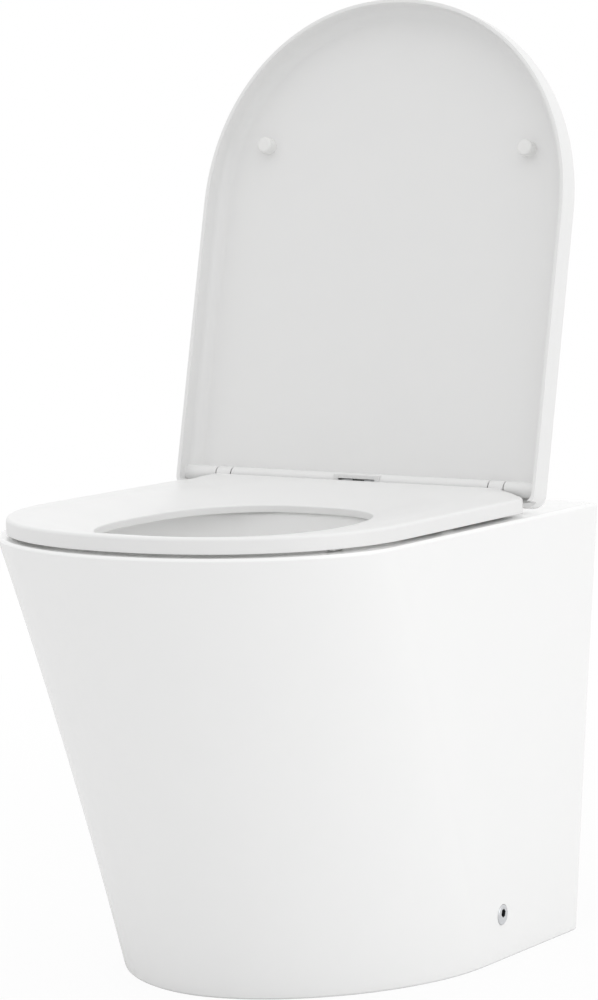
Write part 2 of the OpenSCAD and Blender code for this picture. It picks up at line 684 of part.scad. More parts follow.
// The sockets are flat behind, where the open lid passes them
socket_flat = 3.5;
finger_in = 10.5;
finger_out = 15;
finger_z0 = axis_z - 2;
finger_z1 = axis_z - 0.1;
wedge_y = post_y - 1.2;
rod_gap = 6;
rod_neck = 18;
head_half = 1.9;
module hinge_bar() {
    color(plastic) difference() {
        union() {
            bar_x(bar_r, -bar_half, bar_half, axis_y, axis_z);
            block(-house_half, house_half, house_y0, axis_y, axis_z - house_drop, axis_z + bar_r - 0.1);
            for (s = [-1, 1]) difference() {
                bar_z(socket_r, socket_z0, axis_z, s * post_x, post_y);
                block(s * post_x - socket_r, s * post_x + socket_r, axis_y + socket_flat, axis_y + bar_r,
                      socket_z0 - eps, axis_z - bar_r);
            }
        }
        block(-button_half - button_fit, button_half + button_fit, house_y0 - eps, button_y1 + button_travel,
              button_z0 - button_fit, button_z1 + slot_h);
        block(-pocket_half, pocket_half, post_y - rod_r - rod_fit - pocket_front, post_y + pocket_back,
              axis_z - rod_r - rod_fit, axis_z + rod_r + 3 * rod_fit);
        for (s = [-1, 1]) on_side(s) {
            bar_x(rod_r + rod_fit, pocket_half - eps, post_x, post_y, axis_z);
            bar_x(damper_r + seat_fit, damper_x0 - seat_fit, bar_half + eps, axis_y, axis_z);
            bar_z(post_r + run_fit, pan_h, post_top + 0.3, post_x, post_y);
        }
    }
}
module release_button() {
    color(plastic) union() {
        block(-button_half, button_half, button_y0, button_y1, button_z0, button_z1);
        for (s = [-1, 1]) on_side(s)
            translate([0, 0, finger_z0]) linear_extrude(finger_z1 - finger_z0)
                polygon([[finger_in, button_y1 - eps], [finger_out, button_y1 - eps],
                         [finger_out, wedge_y + finger_out - finger_in], [finger_in, wedge_y]]);
    }
}
module latch_rod() {
    head_y0 = post_y - head_half;
    head_y1 = post_y + head_half;
    slope_x = finger_in - 4 * rod_fit - wedge_y;
    color(steel) union() {
        bar_x(rod_r, rod_neck, post_x - groove_r - 2 * rod_fit, post_y, axis_z);
        block(rod_gap, rod_neck + eps / 2, head_y0, head_y1, finger_z1 + 3 * rod_fit, axis_z + head_half);
        translate([0, 0, finger_z0]) linear_extrude(axis_z + head_half - finger_z0)
            polygon([[rod_gap, head_y0], [slope_x + head_y0, head_y0], [slope_x + head_y1, head_y1],
                     [rod_gap, head_y1]]);
    }
}
// The spring between the rods, one coil of wire wound by a rule
spring_turns = 5;
spring_r = 1.35;
wire_r = 0.28;
spring_steps = 12;
module latch_spring() {
    half = rod_gap - wire_r - run_fit;
    count = spring_turns * spring_steps;
    color(steel) skin([for (k = [0:count]) let (a = 360 * k / spring_steps, x = -half + 2 * half * k / count)
        [for (j = [0:5]) let (b = 60 * j, q = spring_r + wire_r * cos(b))
            [x + wire_r * sin(b), post_y + q * cos(a), axis_z + q * sin(a)]]]);
}
// Each damper: a can closed at its inner end, and a shaft that turns in it with some end play
damper_end = 2;
end_play = 0.4;
module damper(side) {
    color(grey) on_side(side) difference() {
        bar_x(damper_r, damper_x0, damper_x1, axis_y, axis_z);
        bar_x(rotor_r + run_fit, damper_x0 + damper_end, damper_x1 + eps, axis_y, axis_z);
    }
}
module damper_shaft(side) {
    color(steel) on_side(side) union() {
        bar_x(rotor_r, damper_x0 + damper_end + end_play, damper_x1 + 2 * end_play, axis_y, axis_z);
        bar_x(shaft_r, damper_x1 + end_play, lid_ear_x1 - end_play, axis_y, axis_z);
    }
}
module pivot_bush(x0, x1) {
    color(grey) difference() {
        bar_x(bush_r, x0, x1, axis_y, axis_z);
        bar_x(shaft_r + run_fit, x0 - eps, x1 + eps, axis_y, axis_z);
    }
}

// The post: a turned pin with a groove, a base disc and a threaded shank
bush_end = pan_h - deck_t - bush_below;
shank_over = 3;
module hinge_post(side) {
    foot_z = pan_h + gasket_t;
    color(steel) translate([side * post_x, post_y, 0]) union() {
        bar_z(shank_r, bush_end - nut_h - shank_over, foot_z, 0, 0);
        bar_z(post_foot_r, foot_z, foot_z + post_foot_t, 0, 0);
        bar_z(post_r, foot_z, axis_z - groove_half, 0, 0);
        bar_z(groove_r, axis_z - groove_half, axis_z + groove_half, 0, 0);
        bar_z(post_r, axis_z + groove_half, post_top, 0, 0);
    }
}
module hinge_gasket(side) {
    color(grey) translate([side * post_x, post_y, 0]) difference() {
        bar_z(post_foot_r + 0.5, pan_h, pan_h + gasket_t, 0, 0);
        bar_z(shank_r + run_fit, pan_h - eps, pan_h + gasket_t + eps, 0, 0);
    }
}
module deck_bush(side) {
    color(grey) translate([side * post_x, post_y, 0]) difference() {
        bar_z(deck_hole_r - run_fit, bush_end, pan_h, 0, 0);
        bar_z(shank_r + run_fit, bush_end - eps, pan_h + eps, 0, 0);
    }
}
nut_flange = 1.5;
module hinge_nut(side) {
    color(steel) translate([side * post_x, post_y, 0]) difference() {
        union() {
            translate([0, 0, bush_end - nut_h]) cylinder(r = nut_r, h = nut_h, $fn = 6);
            bar_z(nut_r + nut_flange, bush_end - nut_flange, bush_end, 0, 0);
        }
        bar_z(shank_r + run_fit, bush_end - nut_h - eps, bush_end + eps, 0, 0);
    }
}

// The floor fixing: brackets inside the skirt, drawn tight by a cam through each side
cam_face = skirt_half(cam_h) + cam_proud;
bracket_x1 = base_w / 2 - 2 * skirt_wall;
bracket_x0 = bracket_x1 - bracket_d;
upright_x0 = bracket_x1 - upright_t;
bracket_hole_x = bracket_x0 + 4 * bracket_hole_r;
// Space round the eccentric end and between a cam's shaft and the bracket, and the cam's first turn
ecc_fit = 0.3;
key_turn = 15;
module floor_bracket(side) {
    color(steel) on_side(side) difference() {
        union() {
            block(bracket_x0, bracket_x1, cam_y - bracket_w / 2, cam_y + bracket_w / 2, 0, bracket_t);
            block(upright_x0, bracket_x1, cam_y - bracket_w / 4, cam_y + bracket_w / 4, 0, cam_h);
            bar_x(bracket_w / 4, upright_x0, bracket_x1, cam_y, cam_h);
        }
        bar_x(cam_ecc_r + cam_offset + ecc_fit, upright_x0 - eps, bracket_x1 + eps, cam_y, cam_h);
        for (s = [-1, 1])
            bar_z(bracket_hole_r, -eps, bracket_t + eps, bracket_hole_x, cam_y + s * bracket_pitch / 2);
    }
}
module side_cam(side) {
    head_x0 = cam_face - cam_head_t;
    color(steel) on_side(side) difference() {
        union() {
            bar_x(cam_head_r, head_x0, cam_face, cam_y, cam_h);
            bar_x(cam_shaft_r, bracket_x1 + ecc_fit, head_x0 + eps, cam_y, cam_h);
            bar_x(cam_ecc_r, upright_x0, bracket_x1 + eps, cam_y, cam_h - cam_offset);
        }
        translate([cam_face - key_d, cam_y, cam_h]) rotate([0, 90, 0]) rotate([0, 0, key_turn])
            cylinder(r = key_af / 2 / cos(30), h = key_d + eps, $fn = 6);
    }
}
sleeve_in = 3;
module cam_sleeve(side) {
    color(grey) on_side(side) difference() {
        bar_x(cam_hole_r - run_fit, bracket_x1 + sleeve_in, cam_face - cam_head_t - ecc_fit, cam_y, cam_h);
        bar_x(cam_shaft_r + cam_fit, bracket_x1, cam_face, cam_y, cam_h);
    }
}

pan();
lid();
lid_buffer(-1);  // lid_buffer_left
lid_buffer(1);  // lid_buffer_right
seat_ring();
seat_buffer(-1, pad_front);  // seat_buffer_front_left
seat_buffer(1, pad_front);  // seat_buffer_front_right
seat_buffer(-1, pad_rear);  // seat_buffer_rear_left
seat_buffer(1, pad_rear);  // seat_buffer_rear_right
hinge_bar();
release_button();
on_side(-1) latch_rod();  // latch_rod_left
latch_rod();  // latch_rod_right
latch_spring();
damper(-1);  // lid_damper
damper(1);  // seat_damper
damper_shaft(-1);  // lid_damper_shaft
damper_shaft(1);  // seat_damper_shaft
open_lid() pivot_bush(lid_ear_x0, lid_ear_x1);  // lid_pivot_bush
pivot_bush(-ear_x1, -ear_x0);  // seat_pivot_bush
hinge_post(-1);  // hinge_post_left
hinge_post(1);  // hinge_post_right
hinge_gasket(-1);  // hinge_gasket_left
hinge_gasket(1);  // hinge_gasket_right
deck_bush(-1);  // deck_bush_left
deck_bush(1);  // deck_bush_right
hinge_nut(-1);  // hinge_nut_left
hinge_nut(1);  // hinge_nut_right
floor_bracket(-1);  // floor_bracket_left
floor_bracket(1);  // floor_bracket_right
side_cam(-1);  // side_cam_left
side_cam(1);  // side_cam_right
cam_sleeve(-1);  // cam_sleeve_left
cam_sleeve(1);  // cam_sleeve_right
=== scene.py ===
import math
import bpy
import bmesh
import numpy as np
from mathutils import Matrix, Vector


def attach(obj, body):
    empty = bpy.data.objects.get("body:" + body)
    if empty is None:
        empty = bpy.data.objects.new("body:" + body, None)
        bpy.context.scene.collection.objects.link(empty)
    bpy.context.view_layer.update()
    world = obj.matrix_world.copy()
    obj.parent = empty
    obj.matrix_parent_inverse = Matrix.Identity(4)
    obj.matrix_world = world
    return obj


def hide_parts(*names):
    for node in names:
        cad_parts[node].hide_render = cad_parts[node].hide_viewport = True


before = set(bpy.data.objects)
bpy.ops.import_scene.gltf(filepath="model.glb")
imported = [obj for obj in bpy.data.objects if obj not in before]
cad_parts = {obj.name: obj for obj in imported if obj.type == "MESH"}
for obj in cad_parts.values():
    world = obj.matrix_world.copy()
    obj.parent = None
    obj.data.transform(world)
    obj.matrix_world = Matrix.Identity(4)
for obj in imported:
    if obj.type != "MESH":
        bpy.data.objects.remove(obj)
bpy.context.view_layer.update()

# The pan is one casting of vitreous china, fired with a white glaze all over its outside.
# Its skirt is D shaped, upright at the wall and raked back in front, and its underside is open.
MM = 0.001
WALL, RIM = 278.5, 400.0
PAN_WIDTH, PAN_DEPTH = 372.0, 557.0
FLOOR_WIDTH, FLOOR_DEPTH = 331.0, 406.0
RIM_BOW, FLOOR_BOW = 167.5, 220.5
SQUARENESS, HOLLOW_OF_FRONT, EDGE_ROUND = 1.9, 0.1, 3.0
SKIRT_WALL, DECK_UNDERSIDE = 11.0, 385.0
SUMP_HALF_WIDTH, SUMP_HALF_LENGTH, SUMP_BACK, SUMP_HEIGHT = 40, 42, 244, 125
BOWL_HALF_WIDTH, BOWL_HALF_LENGTH, BOWL_BACK, BOWL_POWER = 140, 159.5, 190, 2.2
BOWL_WALL, BOWL_LIP, BOWL_BELLY = 11, 6, 0.75
SPIGOT_RADIUS, OUTLET_BORE, TRAP_RADIUS, TRAP_BORE = 51, 40, 46, 36
INLET_HEIGHT, INLET_RADIUS, INLET_BORE, FLUSH_BORE = 325, 35.5, 27.5, 20
INLET_FACE, INLET_STEP, INLET_START, FLUSH_START = WALL - 50, WALL - 95, WALL - 190, WALL - 212
POST_X, POST_Y, DECK_HOLE = 77.5, 165.0, 8
CAM_Y, CAM_HEIGHT, CAM_HOLE, CAM_HOLE_START = 123.5, 43.0, 9.5, 134
CHINA_WHITE = (0.955, 0.955, 0.952, 1.0)
BISCUIT_WHITE = (0.74, 0.72, 0.68, 1.0)


class Size:
    """A number inside a node tree, so that the rule of a shape reads as plain sums."""

    def __init__(self, tree, socket):
        self.tree, self.socket = tree, socket

    def sum_with(self, operation, *others):
        node = self.tree.nodes.new("ShaderNodeMath")
        node.operation = operation
        for slot, value in zip(node.inputs, (self, *others)):
            if isinstance(value, Size):
                self.tree.links.new(value.socket, slot)
            else:
                slot.default_value = value
        return Size(self.tree, node.outputs[0])

    def __add__(self, other):
        return self.sum_with("ADD", other)

    def __sub__(self, other):
        return self.sum_with("SUBTRACT", other)

    def __mul__(self, other):
        return self.sum_with("MULTIPLY", other)

    def __truediv__(self, other):
        return self.sum_with("DIVIDE", other)

    def __rsub__(self, other):
        return (self * -1.0) + other

    def share(self, start, end):
        """0 before start, 1 after end, and a straight rise between them."""
        return ((self - start) / (end - start)).sum_with("MAXIMUM", 0.0).sum_with("MINIMUM", 1.0)

    def bulge(self, power):
        """The superellipse rule: the value's size to a power, with its sign kept."""
        return self.sum_with("ABSOLUTE").sum_with("POWER", power) * self.sum_with("SIGN")


def new_tree(name, sizes):
    """A tree of Geometry Nodes with one named input for each size."""
    tree = bpy.data.node_groups.new(name, "GeometryNodeTree")
    tree.interface.new_socket(name="Geometry", in_out="OUTPUT", socket_type="NodeSocketGeometry")
    for label, value in sizes.items():
        kind = "NodeSocketInt" if isinstance(value, int) else "NodeSocketFloat"
        tree.interface.new_socket(name=label, in_out="INPUT", socket_type=kind).default_value = value
    entry = tree.nodes.new("NodeGroupInput")
    return tree, {label: Size(tree, entry.outputs[label]) for label in sizes}


def plain_drum(tree, sizes):
    """A closed drum of radius and height 1, and the x, y and z of its points."""
    drum = tree.nodes.new("GeometryNodeMeshCylinder")
    drum.fill_type = "NGON"
    tree.links.new(sizes["Points round"].socket, drum.inputs["Vertices"])
    tree.links.new(sizes["Steps up"].socket, drum.inputs["Side Segments"])
    drum.inputs["Radius"].default_value = 1.0
    drum.inputs["Depth"].default_value = 1.0
    place = tree.nodes.new("GeometryNodeInputPosition")
    parts = tree.nodes.new("ShaderNodeSeparateXYZ")
    tree.links.new(place.outputs[0], parts.inputs[0])
    return drum.outputs["Mesh"], *(Size(tree, socket) for socket in parts.outputs)


def close_tree(tree, drum, places, material):
    """Moves the drum's points to their places, and ends the tree in real geometry with its material."""
    join = tree.nodes.new("ShaderNodeCombineXYZ")
    for slot, value in zip(join.inputs, places):
        tree.links.new(value.socket, slot)
    shape = tree.nodes.new("GeometryNodeSetPosition")
    real = tree.nodes.new("GeometryNodeRealizeInstances")
    coat = tree.nodes.new("GeometryNodeSetMaterial")
    coat.inputs["Material"].default_value = material
    exit_node = tree.nodes.new("NodeGroupOutput")
    tree.links.new(drum, shape.inputs["Geometry"])
    tree.links.new(join.outputs[0], shape.inputs["Position"])
    tree.links.new(shape.outputs[0], real.inputs[0])
    tree.links.new(real.outputs[0], coat.inputs["Geometry"])
    tree.links.new(coat.outputs[0], exit_node.inputs[0])


def grow(name, tree, sizes):
    """A plain mesh made by a tree, with the sizes given by their names."""
    holder = bpy.data.objects.new(name, bpy.data.meshes.new(name))
    bpy.context.scene.collection.objects.link(holder)
    made = holder.modifiers.new("shape", "NODES")
    made.node_group = tree
    for item in tree.interface.items_tree:
        if item.in_out == "INPUT" and item.name in sizes:
            made[item.identifier] = sizes[item.name]
    return settle(holder)


def settle(piece):
    """Turns what the piece's modifiers make into its plain mesh."""
    view = bpy.context.evaluated_depsgraph_get()
    view.update()
    mesh = bpy.data.meshes.new_from_object(piece.evaluated_get(view), preserve_all_data_layers=True,
                                           depsgraph=view)
    piece.modifiers.clear()
    piece.data = mesh
    return piece


def carve(piece, cutter, how="DIFFERENCE"):
    """Cuts, joins or keeps what two closed solids share, and drops the tool."""
    cut = piece.modifiers.new("cut", "BOOLEAN")
    cut.operation, cut.object, cut.solver = how, cutter, "MANIFOLD"
    cut.material_mode = "TRANSFER"
    settle(piece)
    bpy.data.objects.remove(cutter)
    return piece


def skin(name, rings, material, closed=False):
    """A closed skin over rings of points in millimetres: a loop, or capped at both ends."""
    rings = [np.asarray(r, float) for r in rings]
    count, turns = len(rings[0]), len(rings)
    points = np.concatenate(rings) * MM
    faces = []
    for j in range(turns if closed else turns - 1):
        for i in range(count):
            k, low, high = (i + 1) % count, j * count, (j + 1) % turns * count
            faces.append((low + i, high + i, high + k, low + k))
    if not closed:
        faces.append(tuple(range(count)))
        faces.append(tuple(range(turns * count - 1, (turns - 1) * count - 1, -1)))
    mesh = bpy.data.meshes.new(name)
    mesh.from_pydata(points.tolist(), [], faces)
    mesh.materials.append(material)
    body = bmesh.new()
    body.from_mesh(mesh)
    bmesh.ops.remove_doubles(body, verts=body.verts, dist=1e-7)
    bmesh.ops.recalc_face_normals(body, faces=body.faces)
    if body.calc_volume(signed=True) < 0:
        bmesh.ops.reverse_faces(body, faces=body.faces)
    body.to_mesh(mesh)
    body.free()
    piece = bpy.data.objects.new(name, mesh)
    bpy.context.scene.collection.objects.link(piece)
    return piece


def circle_round(axis, sides):
    """Places on a circle of radius 1 round an axis."""
    side = np.cross(axis, [0.0, 0.0, 1.0] if abs(axis[2]) < 0.9 else [0.0, 1.0, 0.0])
    side /= np.linalg.norm(side)
    turn = np.cross(axis, side)
    angles = np.arange(sides) * 2 * math.pi / sides
    return np.cos(angles)[:, None] * side + np.sin(angles)[:, None] * turn


def round_bar(name, radius, start, end, material, sides=96):
    """A round bar between two places, in millimetres."""
    start, end = np.array(start, float), np.array(end, float)
    ring = radius * circle_round((end - start) / np.linalg.norm(end - start), sides)
    return skin(name, [start + ring, end + ring], material)


def slab(name, low, high, material):
    """A rectangular block between two corners, in millimetres."""
    (a, b, c), (d, e, f) = low, high
    base = [(a, b), (d, b), (d, e), (a, e)]
    return skin(name, [[(x, y, c) for x, y in base], [(x, y, f) for x, y in base]], material)


def place_piece(piece, node, body, sharp=32.0):
    """Smooths a piece but for its crisp edges, and lets it stand for its node and ride with its body."""
    piece.data.shade_smooth()
    piece.data.set_sharp_from_angle(angle=math.radians(sharp))
    even = piece.modifiers.new("normals", "WEIGHTED_NORMAL")
    even.keep_sharp = True
    even.weight = 90
    settle(piece)
    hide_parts(node)
    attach(piece, body)


def paint(name, colour, roughness):
    """A material with its shader's plain settings, ready for its detail."""
    material = bpy.data.materials.new(name)
    material.use_nodes = True
    shader = material.node_tree.nodes["Principled BSDF"]
    shader.inputs["Base Color"].default_value = colour
    shader.inputs["Roughness"].default_value = roughness
    return material, material.node_tree, shader


def add_grain(tree, shader, scale, distance, detail=3.0, stretch=(1.0, 1.0, 1.0), seed=0.0):
    """Noise in the object's own space, as fine bump of that depth in metres, or as no bump at 0."""
    nodes, links = tree.nodes, tree.links
    place = nodes.new("ShaderNodeTexCoord")
    spread = nodes.new("ShaderNodeMapping")
    spread.inputs["Scale"].default_value = stretch
    spread.inputs["Location"].default_value = (seed, seed * 0.7, seed * 1.3)
    noise = nodes.new("ShaderNodeTexNoise")
    noise.inputs["Scale"].default_value = scale
    noise.inputs["Detail"].default_value = detail
    links.new(place.outputs["Object"], spread.inputs["Vector"])
    links.new(spread.outputs[0], noise.inputs["Vector"])
    if distance == 0:
        return noise
    bump = nodes.new("ShaderNodeBump")
    bump.inputs["Strength"].default_value = 1.0
    bump.inputs["Distance"].default_value = distance
    links.new(noise.outputs["Fac"], bump.inputs["Height"])
    if shader.inputs["Normal"].is_linked:
        links.new(shader.inputs["Normal"].links[0].from_socket, bump.inputs["Normal"])
    links.new(bump.outputs["Normal"], shader.inputs["Normal"])
    return noise


def ease_range(tree, source, span, values, kind="SMOOTHSTEP"):
    """A value that goes smoothly between two values while its source goes through a span."""
    spread = tree.nodes.new("ShaderNodeMapRange")
    spread.interpolation_type = kind
    spread.inputs["From Min"].default_value, spread.inputs["From Max"].default_value = span
    spread.inputs["To Min"].default_value, spread.inputs["To Max"].default_value = values
    tree.links.new(source, spread.inputs["Value"])
    return spread.outputs["Result"]


NOISE_SPAN = (0.15, 0.85)


def vary(tree, shader, socket, source, low, high):
    """Lets a noise move one of the shader's inputs between two values."""
    moved = ease_range(tree, source.outputs["Fac"], NOISE_SPAN, (low, high), "SMOOTHERSTEP")
    tree.links.new(moved, shader.inputs[socket])


def tint(tree, shader, source, first, second):
    """Lets a noise drift the colour a little between two close tones."""
    ramp = tree.nodes.new("ShaderNodeValToRGB")
    ramp.color_ramp.interpolation = "EASE"
    for stop, position, colour in zip(ramp.color_ramp.elements, NOISE_SPAN, (first, second)):
        stop.position, stop.color = position, colour
    tree.links.new(source.outputs["Fac"], ramp.inputs["Fac"])
    tree.links.new(ramp.outputs["Color"], shader.inputs["Base Color"])


glaze, glaze_nodes, glaze_shader = paint("glazed_china", CHINA_WHITE, 0.12)
glaze_shader.inputs["IOR"].default_value = 1.52
pool = add_grain(glaze_nodes, glaze_shader, 20.0, 0, detail=2.0)
add_grain(glaze_nodes, glaze_shader, 420.0, 0.000008, detail=2.0, seed=3.0)
vary(glaze_nodes, glaze_shader, "Roughness", pool, 0.09, 0.16)
tint(glaze_nodes, glaze_shader, pool, CHINA_WHITE, (0.948, 0.949, 0.946, 1.0))

biscuit, biscuit_nodes, biscuit_shader = paint("bare_china", BISCUIT_WHITE, 0.85)
cast_marks = add_grain(biscuit_nodes, biscuit_shader, 90.0, 0.0004, detail=6.0)
tint(biscuit_nodes, biscuit_shader, cast_marks, BISCUIT_WHITE, (0.66, 0.645, 0.61, 1.0))

# The skirt's rule: a D shaped ring at each height, mixed from the rings at the floor and at the rim.
# Of the turn round it, the first and last SIDE_SHARE run along the sides and the rest round the front.
# Of its steps up, those below FOOT_SHARE round the foot's edge and those above RIM_SHARE the rim's.
SIDE_SHARE, FOOT_SHARE, RIM_SHARE, SEAM_NUDGE = 0.16, 0.1, 0.75, 0.00001
skirt, size = new_tree("d_shaped_skirt", {
    "Rim width": PAN_WIDTH, "Rim depth": PAN_DEPTH, "Floor width": FLOOR_WIDTH, "Floor depth": FLOOR_DEPTH,
    "Rim bow": RIM_BOW, "Floor bow": FLOOR_BOW, "Squareness": SQUARENESS,
    "Hollow of the front": HOLLOW_OF_FRONT, "Bottom": 0.0, "Top": RIM, "Full height": RIM - EDGE_ROUND,
    "Foot edge": EDGE_ROUND, "Rim edge": EDGE_ROUND, "Inset": 0.0,
    "Back": WALL, "Points round": 260, "Steps up": 44,
})
drum, drum_x, drum_y, drum_z = plain_drum(skirt, size)
turn = drum_y.sum_with("ARCTAN2", drum_x) / (2 * math.pi)
turn = (turn + (1.0 + SEAM_NUDGE)).sum_with("FRACT") * size["Points round"] / (size["Points round"] - 1.0)
up = drum_z + 0.5
foot_turn = up.share(0.0, FOOT_SHARE) * (math.pi / 2)
straight_up = up.share(FOOT_SHARE, RIM_SHARE)
rim_turn = up.share(RIM_SHARE, 1.0) * (math.pi / 2)
foot_edge, rim_edge = size["Foot edge"], size["Rim edge"]
height = size["Bottom"] + foot_edge * (1.0 - foot_turn.sum_with("COSINE"))
height = height + straight_up * (size["Top"] - size["Bottom"] - foot_edge - rim_edge)
height = height + rim_edge * rim_turn.sum_with("SINE")
inset = size["Inset"] + foot_edge * (1.0 - foot_turn.sum_with("SINE"))
inset = inset + rim_edge * (1.0 - rim_turn.sum_with("COSINE"))
lean = (height / size["Full height"]).sum_with("MINIMUM", 1.0)
lean = lean - size["Hollow of the front"] * lean * (1.0 - lean)
round_front = turn.share(SIDE_SHARE, 1.0 - SIDE_SHARE) * math.pi
side_run = (turn.share(0.0, SIDE_SHARE) * -1.0 + 1.0) + turn.share(1.0 - SIDE_SHARE, 1.0)
power = size["Squareness"].sum_with("POWER", -1.0) * 2.0
across = round_front.sum_with("COSINE").bulge(power)
ahead = round_front.sum_with("SINE").sum_with("MAXIMUM", 0.0).bulge(power)


def ring_place(width, depth, bow):
    """Where a point of the drum lies on a D of this width, depth and bow."""
    half = width / 2.0 - inset
    straight = depth - bow + size["Back"] - WALL
    x = half * across * -1.0
    y = size["Back"] - straight + straight * side_run - (bow - inset) * ahead
    return x, y


rim_x, rim_y = ring_place(size["Rim width"], size["Rim depth"], size["Rim bow"])
low_x, low_y = ring_place(size["Floor width"], size["Floor depth"], size["Floor bow"])
mixed_x = (low_x + (rim_x - low_x) * lean) * MM
mixed_y = (low_y + (rim_y - low_y) * lean) * MM
close_tree(skirt, drum, (mixed_x, mixed_y, height * MM), glaze)

pan = grow("glazed_pan", skirt, {})
hollow = grow("hollow", skirt, {
    "Bottom": -1.0, "Top": DECK_UNDERSIDE, "Foot edge": 0.0, "Rim edge": 0.0, "Inset": SKIRT_WALL,
    "Back": WALL + 5, "Points round": 220, "Steps up": 20})
hollow.data.materials.clear()
hollow.data.materials.append(biscuit)


def spow(value, power):
    """The superellipse rule for plain numbers."""
    return np.sign(value) * np.abs(value) ** power


SUMP_Y = WALL - SUMP_BACK - SUMP_HALF_LENGTH
BOWL_Y = WALL - BOWL_BACK - BOWL_HALF_LENGTH


def bowl_ring(share, wider, z, points=180):
    """The bowl's outline at a share of its depth, from the small sump to the wide rim."""
    k = (1 - (1 - share) ** 2) ** BOWL_BELLY
    half_w = SUMP_HALF_WIDTH + (BOWL_HALF_WIDTH - SUMP_HALF_WIDTH) * k
    half_l = SUMP_HALF_LENGTH + (BOWL_HALF_LENGTH - SUMP_HALF_LENGTH) * k
    mid_y = SUMP_Y + (BOWL_Y - SUMP_Y) * k
    a = np.arange(points) * 2 * math.pi / points
    x = (half_w + wider) * spow(np.cos(a), 2 / BOWL_POWER)
    y = mid_y + (half_l + wider) * spow(np.sin(a), 2 / BOWL_POWER)
    return np.stack([x, y, np.full(points, float(z))], axis=1)


def bowl_height(share):
    """The height above the floor at a share of the bowl's depth."""
    return SUMP_HEIGHT + (RIM - SUMP_HEIGHT) * share


depths = [0, 0.01, 0.025, 0.045, 0.07, 0.1, 0.14, 0.19, 0.25, 0.31, 0.38, 0.46, 0.55, 0.64, 0.73, 0.82,
          0.9, 0.95]
lip = [(BOWL_LIP - BOWL_LIP * math.cos(a), BOWL_LIP - BOWL_LIP * math.sin(a))
       for a in [t * math.pi / 16 for t in range(9)]]
bowl_inside = skin("bowl_inside", [bowl_ring(s, 0, bowl_height(s)) for s in depths]
                   + [bowl_ring(1, w, RIM - d) for w, d in lip] + [bowl_ring(1, BOWL_LIP, RIM + 1)], glaze)
bowl_outside = skin("bowl_outside", [bowl_ring(0, BOWL_WALL, SUMP_HEIGHT - BOWL_WALL)]
                    + [bowl_ring(s, BOWL_WALL, bowl_height(s)) for s in depths]
                    + [bowl_ring(1, BOWL_WALL, DECK_UNDERSIDE + 2)], biscuit)

# The trap falls from the sump, rises up a slope and runs out to the wall, all in the middle plane
BEND, TILT, OUTLET, TRAP_LOW = 60.0, math.radians(50), 186.0, 115
SPIGOT_END = WALL - 15
SPIGOT_START = SPIGOT_END - 38
rise_y = BEND + BEND * math.sin(TILT)
rise_l = (OUTLET - TRAP_LOW - BEND + 2 * BEND * math.cos(TILT)) / math.sin(TILT)
turn_y = rise_y + rise_l * math.cos(TILT) + BEND * math.sin(TILT)
bends = [(BEND + BEND * math.sin(a), TRAP_LOW - BEND * math.cos(a), a)
         for a in np.linspace(-math.pi / 2, TILT, 25)]
bends += [(turn_y - BEND * math.sin(a), OUTLET - BEND + BEND * math.cos(a), a)
          for a in np.linspace(TILT, 0, 11)]


def trap_run(name, radius, top, end, material):
    """A round run along the trap's bends, from a height in the sump to a place near the wall."""
    b = np.arange(72) * 2 * math.pi / 72
    rings = []
    for y, z, a in [(0, top, -math.pi / 2), *bends, (end - SUMP_Y, OUTLET, 0)]:
        rings.append(np.stack([radius * np.cos(b), SUMP_Y + y + radius * np.sin(b) * math.sin(a),
                               z - radius * np.sin(b) * math.cos(a)], axis=1))
    return skin(name, rings, material)


def run_back(name, radius, start, end, z, material):
    """A straight round run towards the wall, in the pan's middle plane."""
    return round_bar(name, radius, (0, start, z), (0, end, z), material)


carve(hollow, bowl_outside)
carve(hollow, trap_run("trap_outside", TRAP_RADIUS, SUMP_HEIGHT, SPIGOT_START + 19, biscuit))
carve(hollow, run_back("spigot", SPIGOT_RADIUS, SPIGOT_START, SPIGOT_END, OUTLET, biscuit))
carve(hollow, run_back("inlet_boss", INLET_RADIUS, INLET_START, INLET_FACE, INLET_HEIGHT, biscuit))
carve(pan, hollow)
carve(pan, bowl_inside)
carve(pan, trap_run("trap_bore", TRAP_BORE, SUMP_HEIGHT + 1, SPIGOT_START + 1, glaze))
carve(pan, run_back("outlet_bore", OUTLET_BORE, SPIGOT_START, SPIGOT_END + 1, OUTLET, biscuit))
carve(pan, run_back("inlet_bore", INLET_BORE, INLET_STEP, INLET_FACE + 1, INLET_HEIGHT, biscuit))
carve(pan, run_back("flush_channel", FLUSH_BORE, FLUSH_START, INLET_STEP + 1, INLET_HEIGHT, glaze))
for side in (-1, 1):
    carve(pan, round_bar("deck_hole", DECK_HOLE, (side * POST_X, POST_Y, DECK_UNDERSIDE - 1),
                         (side * POST_X, POST_Y, RIM + 1), biscuit, sides=48))
    carve(pan, round_bar("cam_hole", CAM_HOLE, (side * CAM_HOLE_START, CAM_Y, CAM_HEIGHT),
                         (side * PAN_WIDTH / 2, CAM_Y, CAM_HEIGHT), biscuit, sides=48))
place_piece(pan, "pan", "pan_body")

# The floor fixing: a zinc plated steel bracket screwed to the floor on each side inside the skirt,
# and a chromed brass cam in the skirt's side hole that draws the pan down on it. The zinc plate also
# serves the hinge's steel pieces, and the dark nylon its bushes, its dampers and its rubber pieces.
zinc, zinc_nodes, zinc_shader = paint("zinc_plated_steel", (0.62, 0.63, 0.64, 1.0), 0.35)
zinc_shader.inputs["Metallic"].default_value = 1.0
spangle = add_grain(zinc_nodes, zinc_shader, 260.0, 0.00002, detail=4.0)
vary(zinc_nodes, zinc_shader, "Roughness", spangle, 0.26, 0.44)

